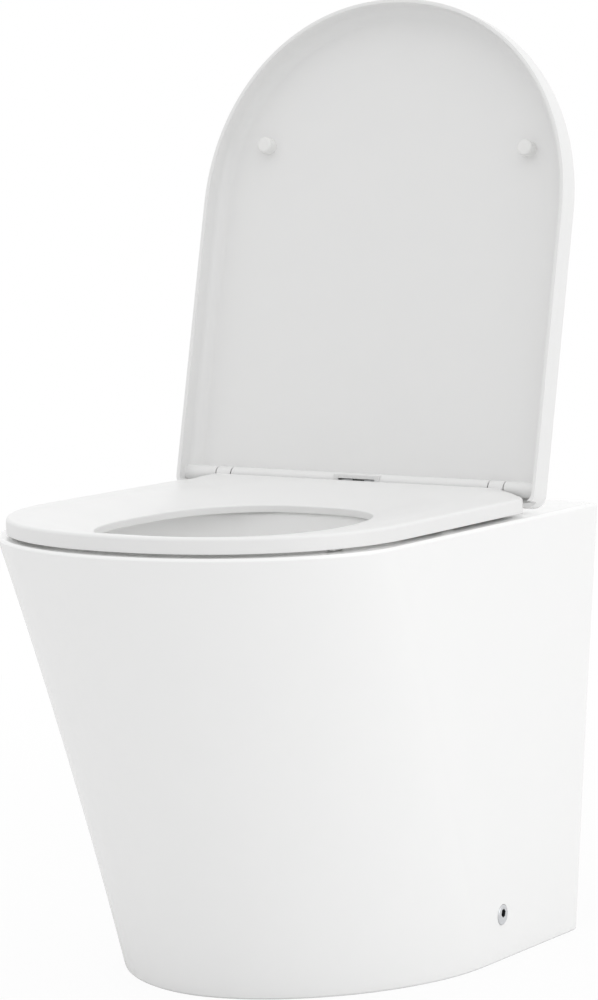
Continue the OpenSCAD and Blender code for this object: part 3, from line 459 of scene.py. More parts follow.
chrome, chrome_nodes, chrome_shader = paint("chromed_brass", (0.72, 0.73, 0.75, 1.0), 0.09)
chrome_shader.inputs["Metallic"].default_value = 1.0
swirl = add_grain(chrome_nodes, chrome_shader, 900.0, 0.000004, detail=2.0, stretch=(0.2, 1.0, 1.0))
vary(chrome_nodes, chrome_shader, "Roughness", swirl, 0.06, 0.16)

nylon, nylon_nodes, nylon_shader = paint("dark_nylon", (0.055, 0.056, 0.06, 1.0), 0.5)
spark = add_grain(nylon_nodes, nylon_shader, 1400.0, 0.00002, detail=2.0)
vary(nylon_nodes, nylon_shader, "Roughness", spark, 0.42, 0.6)

# A near-black material that paints shade into the cams' deep key sockets; its noise only moves the roughness.
painted_socket_shade, painted_socket_shade_nodes, painted_socket_shade_shader = paint("painted_shade_socket", (0.02, 0.02, 0.022, 1.0), 0.7)
socket_shade_grain = add_grain(painted_socket_shade_nodes, painted_socket_shade_shader, 900.0, 0.00002, detail=3.0)
vary(painted_socket_shade_nodes, painted_socket_shade_shader, "Roughness", socket_shade_grain, 0.6, 0.8)

BRACKET_IN, BRACKET_OUT, UPRIGHT_IN = 93.5, 143.5, 135.5
BRACKET_HALF_LENGTH, UPRIGHT_HALF, SHEET, BRACKET_EDGE = 35, 17.5, 4, 0.6
SCREW_X, SCREW_STEP, SCREW_HOLE, EYE_HOLE = 107.5, 22, 3.5, 6.8
CAM_FACE, CAM_NECK, CAM_DISC = 168.52, 6, 9.2
KEY_HEIGHT, KEY_RADIUS, KEY_DEPTH = 44.4, 4.2, 9
ECCENTRIC_RADIUS, ECCENTRIC_OFFSET = 5, 1.5


def lathe(name, profile, foot, axis, material, sides=72, closed=False):
    """A turned piece: pairs of a place along the axis and a radius, in millimetres."""
    foot, axis = np.array(foot, float), np.array(axis, float)
    circle = circle_round(axis, sides)
    return skin(name, [foot + axis * s + circle * r for s, r in profile], material, closed)


def soft_slab(name, low, high, edge, material, steps=3):
    """A rectangular block with rounded edges, in millimetres."""
    piece = slab(name, low, high, material)
    bevel = piece.modifiers.new("edges", "BEVEL")
    bevel.width, bevel.segments, bevel.limit_method = edge * MM, steps, "NONE"
    return settle(piece)


eye_width = BRACKET_OUT - UPRIGHT_IN
eye = [(0, UPRIGHT_HALF - BRACKET_EDGE), (BRACKET_EDGE, UPRIGHT_HALF),
       (eye_width - BRACKET_EDGE, UPRIGHT_HALF), (eye_width, UPRIGHT_HALF - BRACKET_EDGE)]
cam_profile = [(BRACKET_OUT + 0.3, CAM_NECK - 0.2), (BRACKET_OUT + 0.6, CAM_NECK), (CAM_FACE - 4.5, CAM_NECK),
               (CAM_FACE - 4.5, CAM_DISC - 0.4), (CAM_FACE - 4.1, CAM_DISC), (CAM_FACE - 0.9, CAM_DISC),
               (CAM_FACE - 0.45, CAM_DISC - 0.2), (CAM_FACE - 0.12, CAM_DISC - 0.65),
               (CAM_FACE, CAM_DISC - 1.3)]
key = [(CAM_Y + KEY_RADIUS * math.cos(a), KEY_HEIGHT + KEY_RADIUS * math.sin(a))
       for a in [math.radians(15 + 60 * k) for k in range(6)]]
for side, end in ((-1, "left"), (1, "right")):
    xs = sorted((side * BRACKET_IN, side * BRACKET_OUT))
    bracket = soft_slab("fixing_bracket_" + end, (xs[0], CAM_Y - BRACKET_HALF_LENGTH, 0),
                        (xs[1], CAM_Y + BRACKET_HALF_LENGTH, SHEET), BRACKET_EDGE, zinc)
    xs = sorted((side * UPRIGHT_IN, side * BRACKET_OUT))
    carve(bracket, soft_slab("upright", (xs[0], CAM_Y - UPRIGHT_HALF, 0),
                             (xs[1], CAM_Y + UPRIGHT_HALF, CAM_HEIGHT), BRACKET_EDGE, zinc), "UNION")
    carve(bracket, lathe("eye", eye, (xs[0], CAM_Y, CAM_HEIGHT), (1, 0, 0), zinc), "UNION")
    carve(bracket, round_bar("eye_hole", EYE_HOLE, (xs[0] - 1, CAM_Y, CAM_HEIGHT),
                             (xs[1] + 1, CAM_Y, CAM_HEIGHT), zinc))
    for step in (-SCREW_STEP, SCREW_STEP):
        spot = (side * SCREW_X, CAM_Y + step)
        carve(bracket, round_bar("screw_hole", SCREW_HOLE, (*spot, -1), (*spot, SHEET + 1), zinc, sides=48))
    place_piece(bracket, "floor_bracket_" + end, "pan_body")

    cam = lathe("chrome_cam_" + end, cam_profile, (0, CAM_Y, CAM_HEIGHT), (side, 0, 0), chrome, sides=96)
    carve(cam, round_bar("eccentric", ECCENTRIC_RADIUS,
                         (side * UPRIGHT_IN, CAM_Y, CAM_HEIGHT - ECCENTRIC_OFFSET),
                         (side * (BRACKET_OUT + 1), CAM_Y, CAM_HEIGHT - ECCENTRIC_OFFSET), chrome), "UNION")
    carve(cam, skin("key_hole", [[(side * x, y, z) for y, z in key]
                                 for x in (CAM_FACE - KEY_DEPTH, CAM_FACE + 1)], chrome))
    # The faces deep inside the key socket take the near-black painted shade material.
    cam.data.materials.append(painted_socket_shade)
    for face in cam.data.polygons:
        x, y, z = (place / MM for place in face.center)
        deep = CAM_FACE - KEY_DEPTH - 0.1 < abs(x) < CAM_FACE - 0.1
        if deep and math.hypot(y - CAM_Y, z - KEY_HEIGHT) < KEY_RADIUS - 0.1:
            face.material_index = 1
    place_piece(cam, "side_cam_" + end, end + "_cam_body")

# The hinge posts are turned steel pins with a base disc on a rubber gasket. Their shanks carry a
# rolled thread, and flanged nuts clamp them from below through rubber bushes in the deck's holes.
AXIS_Y, AXIS_Z = 166.5, 421.0
SHANK_END, BUSH_END = 361.0, 371.0
SHANK_RADIUS, PIN_RADIUS, LATCH_GROOVE, GROOVE_HALF = 3.9, 4, 2.7, 2.6
DISC_RADIUS, DISC_TOP, GASKET_RADIUS, GASKET_TOP = 9, 402.2, 9.5, 401
SHANK_BORE, BUSH_RADIUS, NUT_HEIGHT, NUT_RADIUS, FLANGE_RADIUS = 3.95, 7.95, 8, 8, 9.5
UPWARDS = (0, 0, 1)
thread, bolt = new_tree("rolled_thread", {
    "Radius": SHANK_RADIUS, "Depth": 0.6, "Pitch": 1.25, "Bottom": SHANK_END, "Length": 39.5,
    "Across": 0.0, "Points round": 36, "Steps up": 320,
})
drum, drum_x, drum_y, drum_z = plain_drum(thread, bolt)
climb = (drum_z + 0.5) * bolt["Length"]
turn = drum_y.sum_with("ARCTAN2", drum_x) / (2 * math.pi)
phase = (climb / bolt["Pitch"] - turn + 1.0).sum_with("FRACT")
reach = bolt["Radius"] - (phase * 2.0 - 1.0).sum_with("ABSOLUTE") * bolt["Depth"]
close_tree(thread, drum, ((drum_x * reach + bolt["Across"]) * MM, (drum_y * reach + POST_Y) * MM,
                          (climb + bolt["Bottom"]) * MM), zinc)


def upright_tube(name, inner, outer, start, end, foot, material, edge=0.3):
    """A turned tube that stands upright, with a small chamfer on its outer edges."""
    profile = [(start, inner), (start, outer - edge), (start + edge, outer), (end - edge, outer),
               (end, outer - edge), (end, inner)]
    return lathe(name, profile, foot, UPWARDS, material, closed=True)


pin_profile = [(RIM, SHANK_RADIUS), (GASKET_TOP, SHANK_RADIUS), (GASKET_TOP, DISC_RADIUS - 0.2),
               (GASKET_TOP + 0.2, DISC_RADIUS), (DISC_TOP - 0.2, DISC_RADIUS), (DISC_TOP, DISC_RADIUS - 0.2),
               (DISC_TOP, PIN_RADIUS), (AXIS_Z - GROOVE_HALF, PIN_RADIUS),
               (AXIS_Z - GROOVE_HALF, LATCH_GROOVE), (AXIS_Z + GROOVE_HALF, LATCH_GROOVE),
               (AXIS_Z + GROOVE_HALF, PIN_RADIUS), (AXIS_Z + 3.2, PIN_RADIUS),
               (AXIS_Z + 3.6, PIN_RADIUS - 0.4)]
hexagon = [(BUSH_END - NUT_HEIGHT + 1, NUT_RADIUS), (BUSH_END - 0.5, NUT_RADIUS)]
dome = [(BUSH_END - NUT_HEIGHT, NUT_RADIUS - 2), (BUSH_END - NUT_HEIGHT + 1, NUT_RADIUS - 1),
        (BUSH_END - NUT_HEIGHT + 1.8, NUT_RADIUS + 0.1), (BUSH_END, NUT_RADIUS + 0.1)]
flange = [(BUSH_END - 1.5, FLANGE_RADIUS - 0.3), (BUSH_END - 1.2, FLANGE_RADIUS),
          (BUSH_END - 0.2, FLANGE_RADIUS), (BUSH_END, FLANGE_RADIUS - 0.2)]
for side, end in ((-1, "left"), (1, "right")):
    foot = (side * POST_X, POST_Y, 0)
    post = lathe("hinge_pin_" + end, pin_profile, foot, UPWARDS, zinc, sides=64)
    carve(post, grow("shank", thread, {"Across": side * POST_X}), "UNION")
    place_piece(post, "hinge_post_" + end, "pan_body", 50)
    gasket = upright_tube("rubber_gasket_" + end, SHANK_BORE, GASKET_RADIUS, RIM, GASKET_TOP, foot, nylon)
    place_piece(gasket, "hinge_gasket_" + end, "pan_body")
    bush = upright_tube("rubber_bush_" + end, SHANK_BORE, BUSH_RADIUS, BUSH_END, RIM, foot, nylon, edge=0.8)
    place_piece(bush, "deck_bush_" + end, "pan_body")
    nut = lathe("flanged_nut_" + end, hexagon, foot, UPWARDS, zinc, sides=6)
    carve(nut, lathe("turned_top", dome, foot, UPWARDS, zinc), "INTERSECT")
    carve(nut, lathe("flange", flange, foot, UPWARDS, zinc), "UNION")
    carve(nut, round_bar("nut_bore", SHANK_BORE, (*foot[:2], BUSH_END - NUT_HEIGHT),
                         (*foot[:2], BUSH_END + 1), zinc, sides=48))
    place_piece(nut, "hinge_nut_" + end, "pan_body")

# Inside the hinge bar and the ears lie the steel latch rods with their spring, the dampers with their
# shafts and the pivot bushes, and the cams turn in plastic sleeves in the skirt. They are hidden, so
# they keep the solids' own shapes and get only their materials.
inner_metal = ("latch_rod_left", "latch_rod_right", "latch_spring", "lid_damper_shaft", "seat_damper_shaft")
inner_plastic = ("cam_sleeve_left", "cam_sleeve_right", "lid_damper", "seat_damper", "lid_pivot_bush",
                 "seat_pivot_bush")
for names, finish in ((inner_metal, zinc), (inner_plastic, nylon)):
    for name in names:
        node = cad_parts[name]
        for k in range(len(node.material_slots)):
            node.material_slots[k].material = finish

# The hinge bar is a moulded white plastic bar on two steel posts in the deck, and the release
# button sits in the small house in its middle, under an open slot.
urea, urea_nodes, urea_shader = paint("seat_white", (0.84, 0.84, 0.836, 1.0), 0.33)
urea_shader.inputs["IOR"].default_value = 1.54
flow = add_grain(urea_nodes, urea_shader, 24.0, 0, detail=2.0, seed=5.0)
add_grain(urea_nodes, urea_shader, 700.0, 0.000006, detail=2.0)
vary(urea_nodes, urea_shader, "Roughness", flow, 0.3, 0.36)
tint(urea_nodes, urea_shader, flow, (0.842, 0.842, 0.838, 1.0), (0.836, 0.836, 0.833, 1.0))
BAR_HALF, BAR_R, HOUSE_HALF, HOUSE_FACE = 133.0, 7.2, 23.6, 158.5
SOCKET_RADIUS, SOCKET_LOW, POST_BORE, ROD_BORE = 6, 402.3, 4.05, 2.3
DAMPER_BORE, DAMPER_START, EAR_IN = 5.62, 101, 134
BUTTON_HALF, BUTTON_ROOM, HEAD_ROOM = 18.6, 19, 20.6
BUTTON_BACK = AXIS_Y - 6.2
SIDEWAYS = (1, 0, 0)


def side_bore(name, radius, x_start, x_end, y, sides=96):
    """A round bore across the pan at the hinge's height."""
    low, high = sorted((x_start, x_end))
    return round_bar(name, radius, (low, y, AXIS_Z), (high, y, AXIS_Z), urea, sides)


bar_end = [(0, BAR_R - 0.8), (0.12, BAR_R - 0.4), (0.4, BAR_R - 0.1), (0.8, BAR_R)]
bar_turned = bar_end + [(2 * BAR_HALF - s, r) for s, r in reversed(bar_end)]
bar = lathe("hinge_bar_moulding", bar_turned, (-BAR_HALF, AXIS_Y, AXIS_Z), SIDEWAYS, urea, sides=128)
carve(bar, soft_slab("house", (-HOUSE_HALF, HOUSE_FACE, AXIS_Z - 6.2), (HOUSE_HALF, AXIS_Y + 2, AXIS_Z + 7.1),
                     0.8, urea), "UNION")
socket_profile = [(SOCKET_LOW, SOCKET_RADIUS - 0.3), (SOCKET_LOW + 0.3, SOCKET_RADIUS),
                  (AXIS_Z, SOCKET_RADIUS)]
for side in (-1, 1):
    x = side * POST_X
    socket = lathe("socket", socket_profile, (x, POST_Y, 0), UPWARDS, urea)
    carve(socket, slab("flat", (x - 7, AXIS_Y + 3.5, RIM), (x + 7, AXIS_Y + 9, AXIS_Z - BAR_R), urea))
    carve(bar, socket, "UNION")
    carve(bar, side_bore("damper_bore", DAMPER_BORE, side * DAMPER_START, side * EAR_IN, AXIS_Y))
    carve(bar, side_bore("rod_bore", ROD_BORE, side * (HEAD_ROOM - 1), x, POST_Y, sides=48))
    carve(bar, round_bar("post_bore", POST_BORE, (x, POST_Y, RIM), (x, POST_Y, AXIS_Z + 3.9), urea))
carve(bar, slab("button_room", (-BUTTON_ROOM, HOUSE_FACE - 1, AXIS_Z - 4.7),
                (BUTTON_ROOM, AXIS_Y - 4.1, AXIS_Z + 3.1), urea))
carve(bar, slab("head_room", (-HEAD_ROOM, AXIS_Y - 6.3, AXIS_Z - 2.3),
                (HEAD_ROOM, AXIS_Y + 4.1, AXIS_Z + 2.5), urea))
place_piece(bar, "hinge_bar", "pan_body", 38)

button = soft_slab("release_button_moulding", (-BUTTON_HALF, BUTTON_BACK - 2.2, AXIS_Z - 4.3),
                   (BUTTON_HALF, BUTTON_BACK, AXIS_Z + 0.5), 0.5, urea)
wedge = [(10.5, BUTTON_BACK - 1), (15, BUTTON_BACK - 1), (15, POST_Y + 3.3), (10.5, POST_Y - 1.2)]
for side in (-1, 1):
    floor_and_top = [[(side * x, y, AXIS_Z + z) for x, y in wedge] for z in (-2, -0.1)]
    carve(button, skin("finger", floor_and_top, urea), "UNION")
place_piece(button, "release_button", "button_body", 38)

# The seat ring is moulded in one piece of hard white plastic, hollow underneath. Its top slopes
# in to a rolled edge round the opening, and two ears at its back turn on the hinge.
SEAT_BACK, SEAT_WIDTH, SEAT_BACK_WIDTH, SEAT_LENGTH = 155.3, 359, 355, 427.8
SEAT_BOW, SEAT_POWER, SEAT_CORNER = 191.5, 2.14, 16
HOLE_HALF_WIDTH, HOLE_HALF_LENGTH, HOLE_POWER, RING_FRONT = 98, 145, 2.6, 68
SEAT_TOP, SEAT_LOW, LIP_LOW, SEAT_EDGE, LIP_EDGE = 416.8, 403.0, 398.8, 3, 1.5
SLOPE_WIDTH, SLOPE_FALL, SLOPE_POWER = 60, 11.3, 1.4
BACK_RISE, RISE_LENGTH, RISE_SIDE, RISE_RUN = 6.2, 60, 173.5, 30
EAR_OUT, SHAFT_BORE, BUSH_BORE = 148.7, 5.22, 4.02
STEM_HOLE, SEAT_STEM, LID_STEM, BOSS_HALF = 2.52, 4, 2.25, 5.5


def shell_outline(width, back_width, back, length, straight, power, corner, inset):
    """The D outline of seat and lid, from the middle of the back round and back again."""
    r, half_back = max(corner - inset, 0.5), back_width / 2 - inset
    half, back_y = width / 2 - inset, back - inset
    front_y, bow = back - straight, length - straight - inset
    points = [(-(half_back - r) * k / 10, back_y) for k in range(10)]
    for k in range(13):
        a = math.pi / 2 * k / 13
        points.append((-(half_back - r) - r * math.sin(a), back_y - r + r * math.cos(a)))
    for k in range(20):
        u = k / 20
        points.append((-(half - (half - half_back) * (1 - u) ** 2), back_y - r - (back_y - r - front_y) * u))
    for k in range(64):
        a = math.pi / 2 * k / 64
        points.append((-half * float(spow(math.cos(a), 2 / power)),
                       front_y - bow * float(spow(math.sin(a), 2 / power))))
    points.append((0.0, back - length + inset))
    return points + [(-x, y) for x, y in points[-2:0:-1]]


def seat_outline(inset):
    """The seat's own outline, drawn in by an inset."""
    return shell_outline(SEAT_WIDTH, SEAT_BACK_WIDTH, SEAT_BACK, SEAT_LENGTH, SEAT_LENGTH - SEAT_BOW,
                         SEAT_POWER, SEAT_CORNER, inset)


HOLE_Y = SEAT_BACK - SEAT_LENGTH + RING_FRONT + HOLE_HALF_LENGTH
rays = [math.atan2(y - HOLE_Y, x) for x, y in seat_outline(0)]


def hole_outline(wider):
    """The opening's superellipse, with one point on the ray to each point of the seat's outline."""
    points = []
    for a in rays:
        across = (abs(math.cos(a)) / (HOLE_HALF_WIDTH + wider)) ** HOLE_POWER
        along = (abs(math.sin(a)) / (HOLE_HALF_LENGTH + wider)) ** HOLE_POWER
        r = (across + along) ** (-1 / HOLE_POWER)
        points.append((r * math.cos(a), HOLE_Y + r * math.sin(a)))
    return points


def flat(points, z):
    """An outline laid level at one height."""
    return [(x, y, z) for x, y in points]


def raised(points, z):
    """The seat's top rises towards the hinge bar, and not at its rear corners."""

    def ease(t):
        t = min(1.0, max(0.0, t))
        return t * t * (3 - 2 * t)

    def rise(x, y):
        along = ease((y - SEAT_BACK + RISE_LENGTH) / RISE_LENGTH)
        return BACK_RISE * along * ease((RISE_SIDE - abs(x)) / RISE_RUN)

    return [(x, y, z + rise(x, y)) for x, y in points]


quarter = [math.pi / 2 * k / 8 for k in range(9)]
slope = [(w, SEAT_TOP - SLOPE_FALL * (1 - w / SLOPE_WIDTH) ** SLOPE_POWER)
         for w in (SLOPE_WIDTH, 56, 52, 48, 42, 36, 30, 24, 18, 12, 6, LIP_EDGE)]
lip_top = slope[-1][1]
outer, inner = np.array(seat_outline(SEAT_EDGE)), np.array(hole_outline(SLOPE_WIDTH))
seat = skin("seat_moulding", (
    [flat(seat_outline(11), SEAT_LOW + 4), flat(seat_outline(9), SEAT_LOW), flat(seat_outline(1), SEAT_LOW),
     flat(seat_outline(0.3), SEAT_LOW + 0.3), flat(seat_outline(0), SEAT_LOW + 1)]
    + [raised(seat_outline(SEAT_EDGE - SEAT_EDGE * math.cos(a)),
              SEAT_TOP - SEAT_EDGE + SEAT_EDGE * math.sin(a)) for a in quarter]
    + [raised(outer * (1 - f) + inner * f, SEAT_TOP) for f in (0.15, 0.3, 0.45, 0.6, 0.75, 0.9)]
    + [raised(hole_outline(w), z) for w, z in slope]
    + [raised(hole_outline(LIP_EDGE - LIP_EDGE * math.sin(a)),
              lip_top - LIP_EDGE + LIP_EDGE * math.cos(a)) for a in quarter[1:]]
    + [flat(hole_outline(0), LIP_LOW + 1), flat(hole_outline(0.3), LIP_LOW + 0.3),
       flat(hole_outline(1), LIP_LOW), flat(hole_outline(5), LIP_LOW), flat(hole_outline(7), SEAT_LOW),
       flat(hole_outline(14), SEAT_LOW), flat(hole_outline(16), SEAT_LOW + 4)]), urea, closed=True)
SEAT_PADS = {"front": (152.0, -155.2), "rear": (165.0, 18.0)}


def stem(name, radius, x, y, foot, length, material):
    """A buffer's stem, or the hole for it, from 1 mm below its foot to its length above it."""
    return round_bar(name, radius, (x, y, foot - 1), (x, y, foot + length), material, sides=32)


seat_ear = [(0, BAR_R - 0.6), (0.2, BAR_R - 0.2), (0.6, BAR_R), (14.1, BAR_R), (14.5, BAR_R - 0.2),
            (EAR_OUT - EAR_IN, BAR_R - 0.6)]
for side, bore in ((-1, SHAFT_BORE), (1, BUSH_BORE)):
    xs = sorted((side * EAR_IN, side * EAR_OUT))
    carve(seat, lathe("ear", seat_ear, (xs[0], AXIS_Y, AXIS_Z), SIDEWAYS, urea, sides=96), "UNION")
    arm = slab("arm", (xs[0], SEAT_BACK - 4, AXIS_Z - 3.6), (xs[1], AXIS_Y, AXIS_Z + 0.5), urea)
    carve(seat, arm, "UNION")
    carve(seat, side_bore("ear_bore", bore, xs[0] - 1, xs[1] + 1, AXIS_Y))
    for pad_x, y in SEAT_PADS.values():
        x = side * pad_x
        boss = slab("boss", (x - BOSS_HALF, y - BOSS_HALF, SEAT_LOW),
                    (x + BOSS_HALF, y + BOSS_HALF, SEAT_LOW + 5), urea)
        carve(seat, boss, "UNION")
        carve(seat, stem("stem_hole", STEM_HOLE, x, y, SEAT_LOW, SEAT_STEM, urea))
place_piece(seat, "seat_ring", "seat_body", 38)

# The buffers are soft white plastic: long ones under the seat that rest on the rim, and round
# ones inside the lid that meet the seat's top; each is pressed in by its stem.
soft, soft_nodes, soft_shader = paint("buffer_white", (0.85, 0.85, 0.84, 1.0), 0.42)
dull = add_grain(soft_nodes, soft_shader, 500.0, 0.00003, detail=2.0)
vary(soft_nodes, soft_shader, "Roughness", dull, 0.36, 0.5)
STEM_RADIUS, PAD_HALF, PAD_REACH = 2.5, 4, 7
PAD_FORM = ((1.3, 400.3), (0.5, 400.5), (0.1, 400.9), (0, 401.4), (0, SEAT_LOW))


def stadium(x, y, half, reach, z):
    """A long round-ended outline along the pan."""
    turns = [math.pi * k / 12 for k in range(13)]
    ring = [(x + half * math.cos(a), y + reach + half * math.sin(a), z) for a in turns]
    return ring + [(x - half * math.cos(a), y - reach - half * math.sin(a), z) for a in turns]


for side, end in ((-1, "left"), (1, "right")):
    for row, (x, y) in SEAT_PADS.items():
        rings = [stadium(side * x, y, PAD_HALF - inset, PAD_REACH, z) for inset, z in PAD_FORM]
        pad = skin("seat_pad_" + row + "_" + end, rings, soft)
        carve(pad, stem("stem", STEM_RADIUS, side * x, y, SEAT_LOW, SEAT_STEM - 0.02, soft), "UNION")
        place_piece(pad, "seat_buffer_" + row + "_" + end, "seat_body", 50)

# The lid is a deep shell of the same plastic with a wall all round that wraps over the seat. It
# stands open, leaning back 12.2 degrees, and its ears turn outside the seat's.
LEAN = math.radians(102.2)
LID_BACK, LID_WIDTH, LID_LENGTH, LID_STRAIGHT = AXIS_Y + 16, 372, 460.8, 266
LID_POWER, LID_CORNER, LID_WALL, LID_COVE, LID_ROUND = 2.08, 12, 3.8, 11.5, 6
LID_IN, LID_OUT, LID_EDGE, LID_ROOT_TOP = 428.6, 433.1, 404.5, 430.8
LID_EAR_IN, LID_EAR_OUT, LID_ROOT_OUT, LID_BORE_OUT = 149.7, 183.0, 164.2, 164.25
LID_PAD = (135.5, LID_BACK - LID_LENGTH + 134.5)
LID_PAD_RADIUS, NOTCH_HALF = 7.5, 15.5


def lid_outline(inset):
    """The lid's own outline, drawn in by an inset."""
    return shell_outline(LID_WIDTH, LID_WIDTH, LID_BACK, LID_LENGTH, LID_STRAIGHT, LID_POWER, LID_CORNER,
                         inset)


def stand_open(piece):
    """Turns a piece drawn on the closed lid up round the hinge, in its mesh."""
    points = np.array([v.co for v in piece.data.vertices])
    y, z = points[:, 1] - AXIS_Y * MM, points[:, 2] - AXIS_Z * MM
    c, s = math.cos(-LEAN), math.sin(-LEAN)
    points[:, 1], points[:, 2] = AXIS_Y * MM + y * c - z * s, AXIS_Z * MM + y * s + z * c
    piece.data.vertices.foreach_set("co", points.ravel())
    piece.data.update()
    return piece


lid = skin("lid_moulding", (
    [flat(lid_outline(LID_WALL + LID_COVE - LID_COVE * math.sin(a)),
          LID_IN - LID_COVE + LID_COVE * math.cos(a)) for a in quarter]
    + [flat(lid_outline(LID_WALL), LID_EDGE + 1), flat(lid_outline(LID_WALL - 0.3), LID_EDGE + 0.3),
       flat(lid_outline(LID_WALL - 1), LID_EDGE), flat(lid_outline(1), LID_EDGE),
       flat(lid_outline(0.3), LID_EDGE + 0.3), flat(lid_outline(0), LID_EDGE + 1)]
    + [flat(lid_outline(LID_ROUND - LID_ROUND * math.cos(a)),
            LID_OUT - LID_ROUND + LID_ROUND * math.sin(a)) for a in quarter]), urea)
lid_ear = [(0, BAR_R - 0.6), (0.2, BAR_R - 0.2), (0.6, BAR_R), (LID_EAR_OUT - LID_EAR_IN, BAR_R)]
for side, bore in ((-1, BUSH_BORE), (1, SHAFT_BORE)):
    xs = sorted((side * LID_EAR_IN, side * LID_EAR_OUT))
    ear = lathe("ear", lid_ear, (side * LID_EAR_IN, AXIS_Y, AXIS_Z), (side, 0, 0), urea, sides=96)
    carve(lid, ear, "UNION")
    web = slab("web", (xs[0], AXIS_Y - BAR_R, AXIS_Z), (xs[1], AXIS_Y + BAR_R, LID_ROOT_TOP), urea)
    carve(lid, web, "UNION")
    xs = sorted((side * LID_EAR_IN, side * LID_ROOT_OUT))
    carve(lid, slab("root", (xs[0], AXIS_Y, AXIS_Z - 2), (xs[1], LID_BACK - 2, LID_ROOT_TOP), urea), "UNION")
    carve(lid, round_bar("ear_bore", bore, (side * EAR_OUT, AXIS_Y, AXIS_Z),
                         (side * LID_BORE_OUT, AXIS_Y, AXIS_Z), urea))
    spot = (side * LID_PAD[0], LID_PAD[1])
    carve(lid, stem("stem_hole", STEM_HOLE, *spot, LID_IN, LID_STEM, urea))
carve(lid, slab("back_cut", (-200, LID_BACK - 5, RIM), (200, LID_BACK + 1, AXIS_Z - 6.5), urea))
for side in (-1, 1):
    carve(lid, slab("notch", (side * POST_X - NOTCH_HALF, AXIS_Y + 0.5, RIM),
                    (side * POST_X + NOTCH_HALF, LID_BACK + 1, LID_IN), urea))
stand_open(lid)
place_piece(lid, "lid", "lid_body", 38)

lid_pad = [(SEAT_TOP + 0.3, LID_PAD_RADIUS - 2.9), (SEAT_TOP + 0.45, LID_PAD_RADIUS - 1.6),
           (SEAT_TOP + 0.9, LID_PAD_RADIUS - 0.7), (SEAT_TOP + 1.6, LID_PAD_RADIUS - 0.2),
           (SEAT_TOP + 2.6, LID_PAD_RADIUS), (LID_IN, LID_PAD_RADIUS)]
for side, end in ((-1, "left"), (1, "right")):
    spot = (side * LID_PAD[0], LID_PAD[1])
    pad = lathe("lid_pad_" + end, lid_pad, (*spot, 0), UPWARDS, soft)
    carve(pad, stem("stem", STEM_RADIUS, *spot, LID_IN, LID_STEM, soft), "UNION")
    stand_open(pad)
    place_piece(pad, "lid_buffer_" + end, "lid_body", 50)

# The room: a plain white floor that keeps a faint shadow, soft light all round, and a broad
# lamp on the right that makes the skirt's right side the brightest face.
bpy.context.scene.view_settings.view_transform = "Standard"
bpy.context.scene.cycles.max_bounces = 24
bpy.context.scene.cycles.diffuse_bounces = 16
FLOOR_WHITE, FLOOR_HALF = (0.8, 0.8, 0.8, 1.0), 6
GLOW_NEAR, GLOW_FAR, GLOW_START, GLOW_END = 0.93, 1.0, 0.5, 1.8
SKY_LOW, SKY_HIGH, SKY_START, SKY_END = 0.66, 1.2, 0.1, 0.95
LAMP_PLACE, LAMP_AIM, LAMP_WIDTH, LAMP_HEIGHT, LAMP_POWER = (2.6, 0.3, 1.0), (0, 0, 0.3), 2.0, 2.4, 11.5
ground = bpy.data.meshes.new("floor")
ground.from_pydata([(x * FLOOR_HALF, y * FLOOR_HALF, 0) for x, y in ((-1, -1), (1, -1), (1, 1), (-1, 1))], [],
                   [(0, 1, 2, 3)])
floor = bpy.data.objects.new("floor", ground)
bpy.context.scene.collection.objects.link(floor)

# Seen straight, the floor is mostly its own glow, so that it stays white as the backdrop does
white = bpy.data.materials.new("floor_white")
white.use_nodes = True
tree = white.node_tree
tree.nodes.clear()
out = tree.nodes.new("ShaderNodeOutputMaterial")
matt = tree.nodes.new("ShaderNodeBsdfDiffuse")
matt.inputs["Color"].default_value = FLOOR_WHITE
glow = tree.nodes.new("ShaderNodeEmission")
glow.inputs["Strength"].default_value = 1.0
seen = tree.nodes.new("ShaderNodeLightPath")
share = tree.nodes.new("ShaderNodeMath")
share.operation = "MULTIPLY"
spot = tree.nodes.new("ShaderNodeTexCoord")
far = tree.nodes.new("ShaderNodeVectorMath")
far.operation = "LENGTH"
tree.links.new(spot.outputs["Object"], far.inputs[0])
glow_share = ease_range(tree, far.outputs["Value"], (GLOW_START, GLOW_END), (GLOW_NEAR, GLOW_FAR))
blend = tree.nodes.new("ShaderNodeMixShader")
tree.links.new(seen.outputs["Is Camera Ray"], share.inputs[0])
tree.links.new(glow_share, share.inputs[1])
tree.links.new(share.outputs[0], blend.inputs["Fac"])
tree.links.new(matt.outputs[0], blend.inputs[1])
tree.links.new(glow.outputs[0], blend.inputs[2])
tree.links.new(blend.outputs[0], out.inputs["Surface"])
ground.materials.append(white)

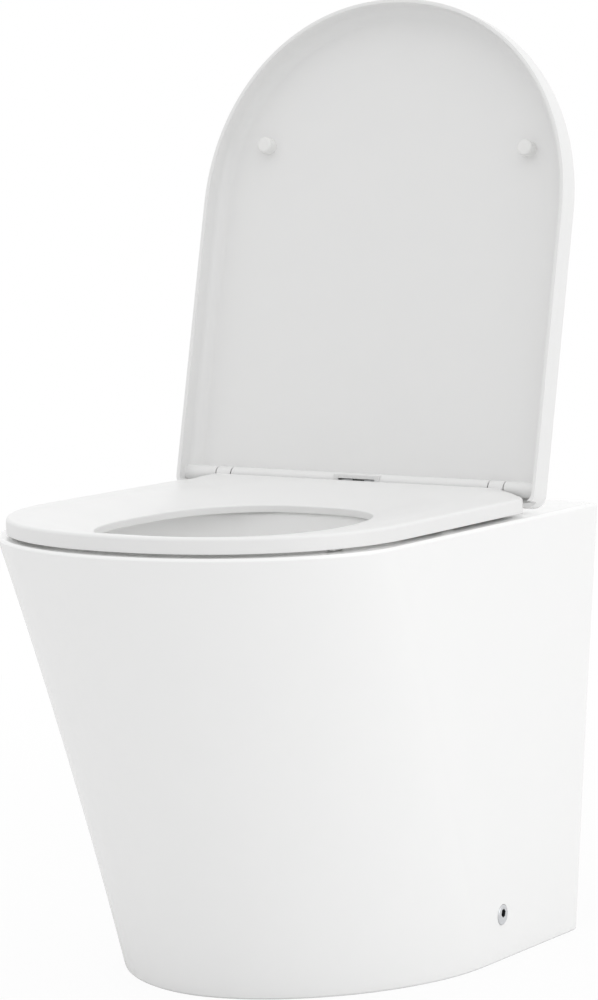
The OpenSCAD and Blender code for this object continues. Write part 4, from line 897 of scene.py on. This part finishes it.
# The world lights the piece more from above than from the sides, and itself looks plain white
world = bpy.data.worlds.new("studio")
bpy.context.scene.world = world
world.use_nodes = True
tree = world.node_tree
tree.nodes.clear()
out = tree.nodes.new("ShaderNodeOutputWorld")
seen = tree.nodes.new("ShaderNodeLightPath")
card = tree.nodes.new("ShaderNodeBackground")
fill = tree.nodes.new("ShaderNodeBackground")
for light in (card, fill):
    light.inputs["Color"].default_value = (1, 1, 1, 1)
card.inputs["Strength"].default_value = 1.0
way = tree.nodes.new("ShaderNodeTexCoord")
parts = tree.nodes.new("ShaderNodeSeparateXYZ")
tree.links.new(way.outputs["Generated"], parts.inputs[0])
sky = ease_range(tree, parts.outputs["Z"], (SKY_START, SKY_END), (SKY_LOW, SKY_HIGH))
tree.links.new(sky, fill.inputs["Strength"])
plain = seen.outputs["Is Camera Ray"]
for kind in ("Is Transmission Ray", "Is Glossy Ray"):
    either = tree.nodes.new("ShaderNodeMath")
    either.operation = "MAXIMUM"
    tree.links.new(plain, either.inputs[0])
    tree.links.new(seen.outputs[kind], either.inputs[1])
    plain = either.outputs[0]
both = tree.nodes.new("ShaderNodeMixShader")
tree.links.new(plain, both.inputs["Fac"])
tree.links.new(fill.outputs[0], both.inputs[1])
tree.links.new(card.outputs[0], both.inputs[2])
tree.links.new(both.outputs[0], out.inputs["Surface"])

window = bpy.data.lights.new("right_window", "AREA")
window.shape, window.size, window.size_y, window.energy = "RECTANGLE", LAMP_WIDTH, LAMP_HEIGHT, LAMP_POWER
lamp = bpy.data.objects.new("right_window", window)
bpy.context.scene.collection.objects.link(lamp)
lamp.location = LAMP_PLACE
lamp.rotation_mode = "QUATERNION"
lamp.rotation_quaternion = Vector(np.subtract(LAMP_AIM, LAMP_PLACE)).to_track_quat("-Z", "Y")

# The camera stands where the photograph was taken from: low, in front and to the right. Its angles,
# distance and lens come from a fit to the pan's outline.
AZIMUTH, ELEVATION, ROLL = math.radians(29.4661), math.radians(6.1604), math.radians(-0.2455)
TARGET, DISTANCE = (0.0, 0.0528334, 0.4147449), 3.85151
FOCAL_PIXELS, PICTURE_HEIGHT, SENSOR = 4324.15, 1000.0, 36.0
back = np.array([math.sin(AZIMUTH) * math.cos(ELEVATION), -math.cos(AZIMUTH) * math.cos(ELEVATION),
                 math.sin(ELEVATION)])
right = np.array([math.cos(AZIMUTH), math.sin(AZIMUTH), 0.0])
upward = np.cross(back, right)
c, s = math.cos(ROLL), math.sin(ROLL)
right, upward = right * c + upward * s, upward * c - right * s
lens = bpy.data.cameras.new("camera")
lens.sensor_width = SENSOR
lens.lens = FOCAL_PIXELS * SENSOR / PICTURE_HEIGHT
lens.clip_start, lens.clip_end = 0.1, 50.0
camera = bpy.data.objects.new("camera", lens)
bpy.context.scene.collection.objects.link(camera)
stand = np.array(TARGET) + back * DISTANCE
axes = np.column_stack([right, upward, back, stand]).tolist()
camera.matrix_world = Matrix([*axes, [0, 0, 0, 1]])
bpy.context.scene.camera = camera
